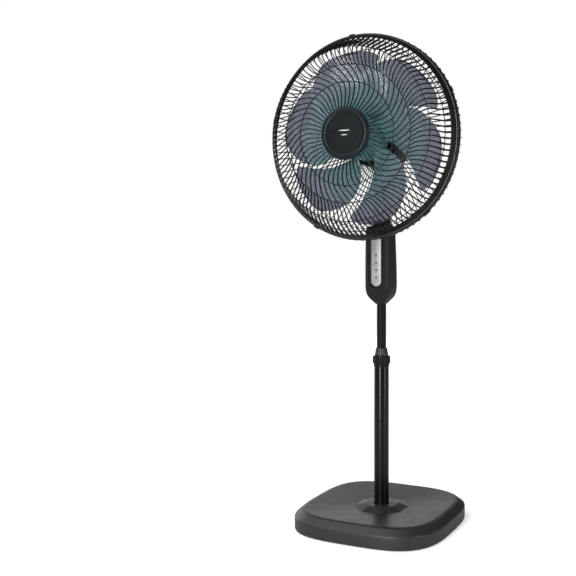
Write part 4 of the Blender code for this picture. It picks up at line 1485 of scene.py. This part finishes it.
# -------------------------------------------------------------------------------------- neck
@dataclass
class NeckAssembly(SubAssembly):
    """The swivelling neck and the tilt bracket."""

    foot_radius: float = 0.0225
    half_width: float = 0.0205
    slot_half: float = 0.0098

    def build(self) -> None:
        """Builds the neck and the bracket."""
        self._neck()
        self._bracket()

    def _neck(self) -> None:
        """Builds the neck as two cheeks on one column."""
        low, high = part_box("swivel_neck")
        tilt = self.layout.tilt.z
        half = self.half_width
        count = 72
        levels = [
            (low.z, self.foot_radius - 0.0006, self.foot_radius - 0.0006, 2.0),
            (low.z + 0.0006, self.foot_radius, self.foot_radius, 2.0),
            (low.z + 0.0080, self.foot_radius, self.foot_radius, 2.0),
            (low.z + 0.0105, self.foot_radius - 0.0014, self.foot_radius - 0.0010, 2.1),
            (low.z + 0.0200, half - 0.0008, half, 2.3),
            (low.z + 0.0400, half, half - 0.0002, 2.8),
            (tilt - 0.0300, half, half - 0.0010, 3.4),
            (tilt - 0.0190, half, half - 0.0013, 3.8),
        ]
        rings = [rounded_ring(x, y, n, z, count) for z, x, y, n in levels]
        column = Shape().loft(rings)
        for side in (-1, 1):
            self._cheek(column, side, tilt, high.z)
        mesh = column.mesh("neck_column", self.layout.at_post(), 40.0)
        self.add("neck_column", mesh, "housing_satin", Body.NECK, Slot.BLACK, ["swivel_neck"])

    def _cheek(self, shape: Shape, side: int, tilt: float, top: float) -> None:
        """Adds one cheek of the fork.

        Args:
            shape: The neck's shape.
            side: -1 for the left cheek and 1 for the right.
            tilt: The height of the tilt bolt.
            top: The top of the cheek.
        """
        reach = top - tilt
        outline = filleted(
            [
                (-0.0178, tilt - 0.0195, 0.0),
                (0.0178, tilt - 0.0195, 0.0),
                (0.0175, tilt - 0.0020, 0.0080),
                (0.0095, tilt + reach, 0.0080),
                (-0.0095, tilt + reach, 0.0080),
                (-0.0175, tilt - 0.0020, 0.0080),
            ],
            6,
            True,
        )
        inner = side * self.slot_half
        outer = side * self.half_width
        normals = outline_normals(outline)
        rings = []
        ease = 0.0004
        round_off = 0.0016
        levels = [(inner, ease), (inner + side * ease, 0.0)]
        levels += [(outer - side * round_off, 0.0), (outer, round_off)]
        for x, inset in levels:
            rings.append([(x, y - inset * ny, z - inset * nz) for (y, z), (ny, nz) in zip(outline, normals)])
        shape.loft(rings)

    def _bracket(self) -> None:
        """Builds the tongue that carries the motor."""
        low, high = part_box("tilt_bracket")
        tilt = self.layout.tilt.z
        tongue = 0.0095
        count = 64
        levels = [
            (low.z, tongue, 0.0050, 6.0),
            (tilt - 0.0075, tongue, 0.0095, 6.0),
            (tilt, tongue, 0.0120, 6.0),
            (tilt + 0.0180, tongue, 0.0140, 6.0),
            (tilt + 0.0235, 0.0110, 0.0160, 5.0),
            (high.z - 0.0100, 0.0150, 0.0205, 4.5),
            (high.z - 0.0030, 0.0200, 0.0280, 4.0),
            (high.z, 0.0210, 0.0300, 4.0),
        ]
        rings = [rounded_ring(x, y, n, z, count) for z, x, y, n in levels]
        mesh = Shape().loft(rings).mesh("tilt_tongue", self.layout.at_post(), 40.0)
        self.add("tilt_tongue", mesh, "motor_black", Body.HEAD, Slot.BLACK, ["tilt_bracket"])


# -------------------------------------------------------------------------------------- motor
@dataclass
class MotorHead(SubAssembly):
    """The two covers round the motor, with cooling slots at the back."""

    wall: float = 0.0022
    face: float = 0.0478
    nose: float = 0.0220
    slots: int = 30
    steps: int = 120

    def build(self) -> None:
        """Builds the covers."""
        self._front_cover()
        self._rear_cover()

    def _front_cover(self) -> None:
        """Builds the front cover, with the threaded nose that the guard nut screws on."""
        low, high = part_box("motor_front_cover")
        axis = self.layout.fan
        radius = (high.x - low.x) / 2
        front = axis.y - low.y
        join = axis.y - high.y
        face = self.face
        nose = self.nose
        profile = filleted(
            [
                (radius, join, 0.0),
                (radius, face - 0.0100, 0.0060),
                (radius - 0.0060, face, 0.0030),
                (nose, face, 0.0010),
                (nose, front, 0.0008),
                (0.0125, front, 0.0006),
                (0.0125, face - self.wall, 0.0),
                (radius - 0.0080, face - self.wall, 0.0030),
                (radius - self.wall, face - 0.0120, 0.0040),
                (radius - self.wall, join, 0.0),
            ],
            5,
            True,
        )
        mesh = Shape().turn(profile, self.steps).mesh("motor_front_shell", self.layout.at_fan(), 40.0)
        self.add("motor_front_shell", mesh, "motor_black", Body.HEAD, Slot.BLACK, ["motor_front_cover"])

    def _rear_cover(self) -> None:
        """Builds the domed rear cover and leaves a ring of cooling slots open in it."""
        low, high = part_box("motor_rear_cover")
        axis = self.layout.fan
        radius = (high.x - low.x) / 2
        join = axis.y - low.y
        rear = axis.y - high.y
        depth = join - rear
        dome = [(1.0, 0.0), (1.0, 0.02), (0.995, 0.20), (0.985, 0.38), (0.955, 0.55), (0.90, 0.70)]
        dome += [(0.80, 0.83), (0.66, 0.92), (0.50, 0.97), (0.30, 0.993), (0.12, 1.0)]
        curve = smooth_curve(dome, 4)
        outer = [(radius * r, join - depth * d) for r, d in curve]
        inner = [((radius - self.wall) * r, join - (depth - self.wall) * d) for r, d in curve]
        steps = self.slots * 4
        shape = Shape()
        outside = [shape.row(circle(r, z, steps)) for r, z in outer]
        inside = [shape.row(circle(r, z, steps)) for r, z in inner]
        rows = len(outer) - 1

        def solid(row: int, column: int) -> bool:
            """Tells whether a cell of the shell is solid."""
            if not 0 <= row < rows:
                return False
            share = curve[row][1]
            in_band = 0.60 < share < 0.93
            return not (in_band and column % 4 in (1, 2))

        for row in range(rows):
            for column in range(steps):
                if not solid(row, column):
                    continue
                after = (column + 1) % steps
                low_edge = ((row, column), (row, after))
                high_edge = ((row + 1, after), (row + 1, column))
                for layer in (outside, inside):
                    shape.faces.append(tuple(layer[i][j] for i, j in low_edge + high_edge))
                edges = [
                    (solid(row - 1, column), low_edge),
                    (solid(row + 1, column), high_edge),
                    (solid(row, (column - 1) % steps), (high_edge[1], low_edge[0])),
                    (solid(row, after), (low_edge[1], high_edge[0])),
                ]
                for joined, (one, two) in edges:
                    at_end = one[0] == rows and two[0] == rows
                    if not joined and not at_end:
                        (i, j), (k, m) = one, two
                        shape.faces.append((outside[i][j], outside[k][m], inside[k][m], inside[i][j]))
        shape.faces.append(tuple(outside[-1]))
        shape.faces.append(tuple(inside[-1]))
        mesh = shape.mesh("motor_rear_shell", self.layout.at_fan(), 40.0)
        self.add("motor_rear_shell", mesh, "motor_black", Body.HEAD, Slot.BLACK, ["motor_rear_cover"])


# -------------------------------------------------------------------------------------- guards
@dataclass
class Guard(SubAssembly):
    """What both guards share: ribs that follow a profile, and rings."""

    rib_width: float = 0.0027
    rib_height: float = 0.0060
    rib_sink: float = 0.0014
    ring_width: float = 0.0020
    steps: int = 216

    def rib(self, shape: Shape, track: Sequence[Sequence[float]], turn: float, height: float) -> None:
        """Adds one rib.

        Args:
            shape: The shape that holds the ribs.
            track: The rib's (radius, forward, twist in degrees, width) points.
            turn: How far round the rib is, in radians.
            height: The rib's height off the guard's face.
        """
        path = []
        normals = []
        widths = [point[3] for point in track]
        last = len(track) - 1
        for index, (radius, forward, twist, _) in enumerate(track):
            angle = turn + math.radians(twist)
            path.append(Vector((radius * math.cos(angle), radius * math.sin(angle), forward)))
            before = track[max(index - 1, 0)]
            after = track[min(index + 1, last)]
            run = after[0] - before[0]
            rise = after[1] - before[1]
            length = math.hypot(run, rise)
            out, up = -rise / length, run / length
            normals.append(Vector((out * math.cos(angle), out * math.sin(angle), up)))
        section = [(across, out - self.rib_sink) for across, out in wire_section(1.0, height)]
        shape.sweep(path, normals, section, widths)

    def ring(self, shape: Shape, radius: float, forward: float, width: float, height: float) -> None:
        """Adds one ring with a rounded section."""
        section = wire_section(width, height)
        shape.turn([(radius + across, forward + out) for across, out in section], self.steps)


@dataclass
class FrontGuard(Guard):
    """The domed front guard: curved ribs, more of them outside the second ring, and the rim with its clips."""

    inner_ribs: int = 54
    outer_ribs: int = 108
    band_start: float = 0.2184
    window_rib: float = 0.0040

    def build(self) -> None:
        """Builds the grille, the rim and the clips."""
        self._grille()
        self._rim()
        self._clips()

    def _profile(self) -> list[tuple[float, float, float, float]]:
        """Returns the guard's (radius, forward, degrees of twist, rib width) knots, from the cap outwards."""
        rim = self.layout.rim_forward
        face = self.rib_width
        wide = self.window_rib
        return [
            (0.0520, rim + 0.0838, 0.3, face * 0.85),
            (0.0700, rim + 0.0834, -1.8, face * 0.9),
            (0.0850, rim + 0.0830, -2.6, face),
            (0.0980, rim + 0.0822, -2.0, face),
            (0.1120, rim + 0.0812, 0.6, face),
            (0.1310, rim + 0.0806, 7.6, face),
            (0.1490, rim + 0.0800, 14.6, face),
            (0.1620, rim + 0.0790, 17.6, face),
            (0.1750, rim + 0.0768, 19.2, face),
            (0.1890, rim + 0.0715, 19.9, face * 1.1),
            (0.1980, rim + 0.0575, 19.8, face * 1.25),
            (0.2100, rim + 0.0365, 19.2, wide * 0.9),
            (0.2184, rim + 0.0217, 19.6, wide),
            (0.2250, rim + 0.0100, 20.0, wide),
        ]

    def _grille(self) -> None:
        """Builds the ribs and the four rings."""
        knots = self._profile()
        inner = smooth_curve(knots[:7], 4)
        outer = smooth_curve(knots, 3)[18:]
        shape = Shape()
        for index in range(self.inner_ribs):
            self.rib(shape, inner, FULL_TURN * index / self.inner_ribs, self.rib_height)
        for index in range(self.outer_ribs):
            self.rib(shape, outer, FULL_TURN * index / self.outer_ribs, self.rib_height)
        for radius, forward, _, _ in (knots[4], knots[6], knots[9], knots[11]):
            self.ring(shape, radius, forward, self.ring_width, self.ring_width)
        self.ring(shape, 0.0545, self.layout.rim_forward + 0.0836, 0.0050, 0.0030)
        mesh = shape.mesh("front_grille", self.layout.at_fan(), 50.0)
        self.add("front_grille", mesh, "guard_black", Body.HEAD, Slot.BLACK, ["front_guard"])

    def _rim(self) -> None:
        """Builds the solid band round the edge, with its rolled lip, and a bead ring whose lighter finish is a
        painted highlight.
        """
        rim = self.layout.rim_forward
        radius = self.layout.rim_radius
        thick = 0.0018
        profile = filleted(
            [
                (self.band_start, rim + 0.0226, 0.0006),
                (self.band_start + 0.0010, rim + 0.0212, 0.0004),
                (radius - 0.0040, rim + 0.0098, 0.0010),
                (radius - 0.0034, rim + 0.0086, 0.0003),
                (radius - 0.0040, rim + 0.0078, 0.0003),
                (radius - 0.0012, rim + 0.0066, 0.0010),
                (radius, rim + 0.0052, 0.0014),
                (radius, rim + 0.0004, 0.0006),
                (radius - 0.0030, rim + 0.0004, 0.0004),
                (radius - 0.0030 - thick, rim + 0.0050, 0.0010),
                (self.band_start - thick * 0.6, rim + 0.0208, 0.0004),
            ],
            4,
            True,
        )
        mesh = Shape().turn(profile, self.steps).mesh("front_rim", self.layout.at_fan(), 45.0)
        self.add("front_rim", mesh, "guard_black", Body.HEAD, Slot.BLACK)
        # The bead ring takes a lighter finish than the band: a painted highlight line round the rim.
        bead = Shape()
        self.ring(bead, radius - 0.0034, rim + 0.0094, 0.0024, 0.0024)
        mesh = bead.mesh("rim_bead", self.layout.at_fan(), 60.0)
        self.add("rim_bead", mesh, "bead_painted_highlight", Body.HEAD, Slot.BLACK)

    def _clips(self) -> None:
        """Builds a hooked clip in place of each packed one."""
        number = 1
        while f"guard_clip_{number}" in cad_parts:
            low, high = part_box(f"guard_clip_{number}")
            middle = (low + high) / 2
            angle = math.atan2(middle.z - self.layout.fan.z, middle.x - self.layout.fan.x)
            self._clip(number, angle, (high.y - low.y))
            number += 1

    def _clip(self, number: int, angle: float, length: float) -> None:
        """Builds one clip.

        Args:
            number: Which clip it is.
            angle: How far round the rim it is.
            length: Its length along the fan's axis.
        """
        rim = self.layout.rim_forward
        inner = self.layout.rim_radius + 0.0003
        half = 0.0060
        section = filleted(
            [
                (inner, rim - length / 2, 0.0005),
                (inner + 0.0014, rim - length / 2, 0.0007),
                (inner + 0.0024, rim - length / 2 + 0.0040, 0.0012),
                (inner + 0.0024, rim + length / 2 - 0.0030, 0.0012),
                (inner + 0.0012, rim + length / 2, 0.0007),
                (inner, rim + length / 2, 0.0005),
            ],
            4,
            True,
        )
        rings = []
        for across, inset in ((-half, 0.0005), (-half + 0.0006, 0.0), (half - 0.0006, 0.0), (half, 0.0005)):
            rings.append([(r - (inset if r > inner + 0.001 else 0.0), across, z) for r, z in section])
        place = self.layout.at_fan() @ Matrix.Rotation(angle, 4, "Z")
        mesh = Shape().loft(rings).mesh(f"rim_clip_{number}", place, 40.0)
        self.add(f"rim_clip_{number}", mesh, "guard_black", Body.HEAD, Slot.BLACK, [f"guard_clip_{number}"])


@dataclass
class RearGuard(Guard):
    """The shallow rear guard with its hub plate and the nut that holds it."""

    ribs: int = 90

    def build(self) -> None:
        """Builds the rear grille and the nut."""
        self._grille()
        self._nut()

    def _grille(self) -> None:
        """Builds the rear ribs, rings, rim and hub plate."""
        rim = self.layout.rim_forward
        plate = self.layout.fan.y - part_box("rear_guard")[1].y + 0.0015
        edge = self.layout.rim_radius - 0.0020
        thin = self.rib_width * 0.92
        knots = [
            (0.0560, plate, 0.0, thin),
            (0.0800, plate + 0.0012, -4.0, thin),
            (0.1050, plate + 0.0030, -7.5, thin),
            (0.1280, plate + 0.0053, -10.0, thin),
            (0.1600, plate + 0.0105, -12.2, thin),
            (0.1900, plate + 0.0185, -13.6, thin),
            (0.2030, plate + 0.0240, -14.0, thin),
            (0.2120, plate + 0.0300, -14.2, thin),
            (edge - 0.0032, rim - 0.0170, -14.4, thin),
            (edge, rim - 0.0030, -14.4, thin),
        ]
        shape = Shape()
        track = smooth_curve(knots, 3)
        for index in range(self.ribs):
            self.rib(shape, track, FULL_TURN * index / self.ribs, self.rib_height * 0.7)
        for radius, forward, _, _ in (knots[3], knots[6]):
            self.ring(shape, radius, forward, self.ring_width, self.ring_width)
        rim_profile = filleted(
            [
                (edge - 0.0010, rim - 0.0090, 0.0006),
                (edge + 0.0010, rim - 0.0085, 0.0008),
                (edge + 0.0020, rim - 0.0050, 0.0010),
                (edge + 0.0020, rim - 0.0004, 0.0006),
                (edge - 0.0012, rim - 0.0004, 0.0005),
                (edge - 0.0016, rim - 0.0080, 0.0006),
            ],
            4,
            True,
        )
        shape.turn(rim_profile, self.steps)
        hub = filleted(
            [
                (0.0226, plate - 0.0012, 0.0004),
                (0.0600, plate - 0.0012, 0.0006),
                (0.0612, plate, 0.0006),
                (0.0600, plate + 0.0014, 0.0006),
                (0.0226, plate + 0.0014, 0.0004),
            ],
            3,
            True,
        )
        shape.turn(hub, 120)
        mesh = shape.mesh("rear_grille", self.layout.at_fan(), 50.0)
        self.add("rear_grille", mesh, "guard_black", Body.HEAD, Slot.BLACK, ["rear_guard"])

    def _nut(self) -> None:
        """Builds the plastic nut with finger lugs that holds the rear guard."""
        low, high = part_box("guard_nut")
        outer = (high.x - low.x) / 2
        rear = self.layout.fan.y - high.y
        front = self.layout.fan.y - low.y
        lugs = 8
        rings = []
        profile = filleted(
            [(0.0224, rear, 0.0), (outer, rear, 0.0008), (outer, front, 0.0010), (0.0224, front, 0.0005)], 4
        )
        for radius, height in profile:
            dip = 0.0035 if radius > outer - 0.002 else 0.0
            rings.append(lobed_circle(radius, height, lugs, lugs * 12, dip))
        mesh = Shape().loft(rings, endless=True).mesh("guard_lock_nut", self.layout.at_fan(), 45.0)
        self.add("guard_lock_nut", mesh, "knob_black", Body.HEAD, Slot.BLACK, ["guard_nut"])


@dataclass
class GuardCap(SubAssembly):
    """The dished cap in the middle of the front guard."""

    steps: int = 128

    def build(self) -> None:
        """Builds the dish, its disc and a plain generic mark."""
        low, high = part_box("guard_cap")
        badge_low, badge_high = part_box("cap_badge")
        axis = self.layout.fan
        radius = (high.x - low.x) / 2
        disc = (badge_high.x - badge_low.x) / 2
        back = axis.y - high.y
        front = axis.y - low.y
        floor = axis.y - badge_high.y - 0.0003
        face = axis.y - badge_low.y
        dish = filleted(
            [
                (0.0, back, 0.0),
                (radius - 0.0012, back, 0.0),
                (radius, back + 0.0012, 0.0010),
                (radius - 0.0016, front - 0.0034, 0.0030),
                (radius - 0.0060, front - 0.0006, 0.0050),
                (radius - 0.0092, front, 0.0040),
                (disc + 0.0020, front - 0.0012, 0.0020),
                (disc + 0.0003, floor + 0.0010, 0.0010),
                (disc + 0.0002, floor, 0.0),
                (0.0, floor, 0.0),
            ],
            6,
        )
        mesh = Shape().turn(dish, self.steps).mesh("cap_dish", self.layout.at_fan(), 50.0)
        self.add("cap_dish", mesh, "cap_shell", Body.HEAD, Slot.GLOSS, ["guard_cap"])
        plate = filleted(
            [
                (0.0, floor + 0.0003, 0.0),
                (disc, floor + 0.0003, 0.0),
                (disc, face - 0.0002, 0.0003),
                (disc - 0.0006, face, 0.0003),
                (0.0, face - 0.0003, 0.0),
            ],
            4,
        )
        mesh = Shape().turn(plate, self.steps).mesh("cap_disc", self.layout.at_fan(), 50.0)
        self.add("cap_disc", mesh, "badge_black", Body.HEAD, Slot.BLACK, ["cap_badge"])
        self._mark(face)

    def _mark(self, face: float) -> None:
        """Prints two plain bars on the disc.

        Args:
            face: How far forward the disc's face is.
        """
        shape = Shape()
        for height, half, thick in ((0.0060, 0.0150, 0.0011), (-0.0035, 0.0080, 0.0008)):
            ring = rounded_ring(half, thick, 6.0, 0.0, 40)
            shape.loft([[(x, y + height, face + level) for x, y, _ in ring] for level in (-0.0006, 0.00008)])
        mesh = shape.mesh("cap_bars", self.layout.at_fan(), 40.0)
        self.add("cap_bars", mesh, "ink_pale", Body.HEAD, Slot.SILVER)


# -------------------------------------------------------------------------------------- blades
@dataclass
class Impeller(SubAssembly):
    """The six see-through blades on their hub."""

    blades: int = 6
    hub_radius: float = 0.0500
    hub_wall: float = 0.0025
    hub_rear: float = 0.0720
    hub_shoulder: float = 0.1300
    tip_radius: float = 0.1950
    middle: float = 0.1080
    thickness: float = 0.0022
    first: float = 0.25
    spans: int = 26
    chords: int = 30

    def build(self) -> None:
        """Builds the hub with its blades, and the nut in front."""
        self._blades()
        self._nut()

    def _point(self, span: float, chord: float, side: int) -> Vector:
        """Returns a point of one blade.

        Args:
            span: From 0 at the hub to 1 at the tip.
            chord: From 0 at one edge to 1 at the other.
            side: -1 behind or 1 in front.

        Returns:
            The point, in the fan's frame.
        """
        root = self.hub_radius - 0.0022
        width = 40 + 62 * span - 56 * span**2
        sweep = -34 * span**1.3
        angle = math.radians(sweep + (chord - 0.5) * width)
        corner = abs(2 * chord - 1) ** 4
        radius = root + (self.tip_radius - root) * span * (1 - 0.09 * corner * span**2)
        rise = 0.040 - 0.006 * span
        camber = 0.010 * chord * (1 - chord) * (0.4 + span)
        edge = min(1.0, 8 * chord, 8 * (1 - chord), 10 * (1.0 - span) + 0.1)
        thick = self.thickness * (0.30 + 0.70 * math.sqrt(max(edge, 0.0)))
        forward = self.middle + (chord - 0.5) * rise - camber + side * thick / 2
        return Vector((radius * math.cos(angle), radius * math.sin(angle), forward))

    def _blade(self, shape: Shape, turn: float) -> None:
        """Adds one closed blade.

        Args:
            shape: The impeller's shape.
            turn: How far round the blade is, in radians.
        """
        spin = Matrix.Rotation(turn, 3, "Z")
        rings = []
        for i in range(self.spans + 1):
            span = i / self.spans
            front = [self._point(span, j / self.chords, 1) for j in range(self.chords + 1)]
            back = [self._point(span, j / self.chords, -1) for j in range(self.chords, -1, -1)]
            rings.append([tuple(spin @ point) for point in front + back])
        shape.loft(rings)

    def _blades(self) -> None:
        """Builds the hub and its blades as one moulding."""
        front = self.layout.fan.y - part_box("fan_blades")[0].y
        wall = self.hub_wall
        rear = self.hub_rear
        shoulder = self.hub_shoulder
        hub = filleted(
            [
                (self.hub_radius, rear, 0.0006),
                (self.hub_radius - 0.0010, shoulder, 0.0080),
                (self.hub_radius - 0.0090, front - 0.0030, 0.0060),
                (0.0250, front, 0.0060),
                (0.0054, front, 0.0),
                (0.0054, 0.1000, 0.0),
                (0.0110, 0.1000, 0.0),
                (0.0110, front - 2 * wall, 0.0),
                (self.hub_radius - 0.0120, front - 2 * wall, 0.0040),
                (self.hub_radius - 0.0010 - wall, shoulder - 0.001, 0.0060),
                (self.hub_radius - wall, rear, 0.0006),
            ],
            5,
            True,
        )
        shape = Shape().turn(hub, 120)
        for index in range(self.blades):
            self._blade(shape, FULL_TURN * (index + self.first) / self.blades)
        mesh = shape.mesh("impeller", self.layout.at_fan(), 50.0)
        self.add("impeller", mesh, "blade_tint", Body.ROTOR, Slot.AQUA, ["fan_blades"])

    def _nut(self) -> None:
        """Builds the domed nut that holds the blades."""
        low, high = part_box("blade_nut")
        rear = self.layout.fan.y - high.y
        tip = self.layout.fan.y - low.y
        radius = (high.x - low.x) / 2
        lugs = 6
        profile = filleted(
            [
                (0.0054, rear, 0.0),
                (radius, rear, 0.0008),
                (radius * 0.88, tip - 0.0060, 0.0030),
                (0.0060, tip, 0.0030),
                (0.0, tip, 0.0),
            ],
            5,
        )
        rings = []
        for r, z in profile[:-1]:
            dip = 0.0016 if r > radius * 0.6 else 0.0
            rings.append(lobed_circle(r, z, lugs, lugs * 14, dip))
        mesh = Shape().loft(rings).mesh("spinner_nut", self.layout.at_fan(), 45.0)
        self.add("spinner_nut", mesh, "knob_black", Body.ROTOR, Slot.BLACK, ["blade_nut"])


# -------------------------------------------------------------------------------------- hidden parts
@dataclass
class CarriedParts(SubAssembly):
    """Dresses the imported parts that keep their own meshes."""

    def build(self) -> None:
        """Gives each carried part a finish."""
        finishes = {
            "base_plate": "guard_black",
            "base_weight": "cement_grey",
            "post_flange": "zinc_steel",
            "clamp_bolt": "zinc_steel",
            "clamp_nut": "zinc_steel",
            "tube_bush": "knob_black",
            "sensor_window": "gloss_black_shell",
            "control_board": "board_green",
            "swivel_motor": "zinc_steel",
            "swivel_crank": "turned_brass",
            "swivel_spindle": "zinc_steel",
            "spindle_clip": "zinc_steel",
            "tilt_bolt": "zinc_steel",
            "tilt_nut": "zinc_steel",
            "front_bearing": "turned_brass",
            "rear_bearing": "turned_brass",
            "bearing_bracket": "zinc_steel",
            "motor_rotor": "zinc_steel",
            "motor_stator": "zinc_steel",
            "motor_shaft": "zinc_steel",
        }
        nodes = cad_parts
        for node, finish in finishes.items():
            obj = nodes[node]
            obj.data.materials.clear()
            obj.data.materials.append(self.shelf.get(finish))
            self.made.append(node)


# -------------------------------------------------------------------------------------- studio
@dataclass
class SoftBox:
    """A rectangular studio lamp, aimed at a point."""

    name: str
    place: Point3
    target: Point3
    width: float
    height: float
    power: float

    def build(self) -> None:
        """Adds the lamp."""
        data = bpy.data.lights.new(self.name, "AREA")
        data.shape = "RECTANGLE"
        data.size = self.width
        data.size_y = self.height
        data.energy = self.power
        lamp = bpy.data.objects.new(self.name, data)
        lamp.visible_transmission = False
        lamp.location = self.place
        aim = Vector(self.target) - Vector(self.place)
        lamp.rotation_euler = aim.to_track_quat("-Z", "Y").to_euler()
        bpy.context.scene.collection.objects.link(lamp)


@dataclass
class Studio:
    """The floor, the light and the camera."""

    layout: FanLayout
    shelf: FinishShelf
    turn: float = 24.21
    distance: float = 2.0016
    height: float = 0.669
    tip: float = -1.326
    lens: float = 53.07
    shift: Point2 = (-0.1623, -0.05)
    glossy_loss: float = 0.92
    matt_loss: float = 0.50
    window_power: float = 1.5
    window_spread: float = 70.0
    window_way: Point3 = (0.45, 0.50, -1.0)

    def build(self) -> None:
        """Builds the floor, the light and the camera."""
        self._floor()
        self._light()
        self._camera()

    def _floor(self) -> None:
        """Lays one large sheet of pale paper."""
        reach = 12.0
        shape = Shape()
        sides = ((-1, -1), (1, -1), (1, 1), (-1, 1))
        numbers = shape.row([(x * reach, y * reach, 0.0) for x, y in sides])
        shape.faces.append(tuple(numbers))
        floor = bpy.data.objects.new("paper_floor", shape.mesh("paper_floor"))
        floor.data.materials.append(self.shelf.get("pale_paper"))
        bpy.context.scene.collection.objects.link(floor)

    def _light(self) -> None:
        """Sets the soft daylight and the lamps."""
        self._air()
        bpy.context.scene.view_settings.view_transform = "Standard"
        boxes = [
            SoftBox("strip_ahead", (0.05, -2.6, 0.80), (0.0, 0.0, 0.70), 0.34, 2.4, 66.0),
            SoftBox("strip_right", (2.6, -0.45, 0.80), (0.0, 0.0, 0.70), 0.42, 2.4, 24.0),
            SoftBox("wall_behind", (-2.3, 2.9, 0.95), (0.0, 0.0, 0.60), 4.0, 1.7, 24.0),
            SoftBox("wall_left", (-3.0, 0.9, 0.90), (0.0, 0.0, 0.60), 0.8, 1.8, 16.0),
        ]
        for box in boxes:
            box.build()
        sky = bpy.data.lights.new("high_window", "SUN")
        sky.energy = self.window_power
        sky.angle = math.radians(self.window_spread)
        window = bpy.data.objects.new("high_window", sky)
        window.rotation_euler = Vector(self.window_way).to_track_quat("-Z", "Y").to_euler()
        bpy.context.scene.collection.objects.link(window)

    def _air(self) -> None:
        """Fills the room with white light that shiny faces and matt faces catch less of."""
        world = bpy.data.worlds.new("studio_air")
        world.use_nodes = True
        tree = world.node_tree
        background = tree.nodes["Background"]
        background.inputs["Color"].default_value = (1.0, 1.0, 1.0, 1.0)
        path = tree.nodes.new("ShaderNodeLightPath")
        level = None
        for output, loss in (("Is Glossy Ray", self.glossy_loss), ("Is Diffuse Ray", self.matt_loss)):
            step = tree.nodes.new("ShaderNodeMath")
            step.operation = "MULTIPLY_ADD"
            tree.links.new(path.outputs[output], step.inputs[0])
            step.inputs[1].default_value = -loss
            if level is None:
                step.inputs[2].default_value = 1.0
            else:
                tree.links.new(level, step.inputs[2])
            level = step.outputs["Value"]
        tree.links.new(level, background.inputs["Strength"])
        bpy.context.scene.world = world

    def _camera(self) -> None:
        """Sets the level camera."""
        data = bpy.data.cameras.new("camera")
        data.lens = self.lens
        data.shift_x, data.shift_y = self.shift
        turn = math.radians(self.turn)
        camera = bpy.data.objects.new("camera", data)
        across = self.distance * math.sin(turn)
        back = self.distance * math.cos(turn)
        camera.location = (self.layout.post.x + across, self.layout.post.y - back, self.height)
        camera.rotation_euler = (math.radians(90 + self.tip), 0.0, turn)
        bpy.context.scene.collection.objects.link(camera)
        bpy.context.scene.camera = camera


# -------------------------------------------------------------------------------------- main
def corners(box: tuple[Vector, Vector]) -> list[list[float]]:
    """Returns a box's two corners as plain lists."""
    return [list(corner) for corner in box]


def main() -> None:
    """Builds every group in order, then the studio."""
    logging.basicConfig(level=logging.INFO, format="%(name)s %(message)s")
    layout = FanLayout.measure()
    blade_low, blade_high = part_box("fan_blades")
    middle = (blade_low + blade_high) / 2
    shelf = FinishShelf(tuple(middle))
    groups: list[Callable[[FanLayout, FinishShelf], SubAssembly]] = [
        BaseAssembly,
        PostAssembly,
        ControlHousing,
        ControlPanel,
        NeckAssembly,
        MotorHead,
        RearGuard,
        Impeller,
        FrontGuard,
        GuardCap,
        CarriedParts,
    ]
    for group in groups:
        assembly = group(layout, shelf)
        assembly.build()
        assembly.report()
    Studio(layout, shelf).build()


if __name__ == "__main__":
    main()
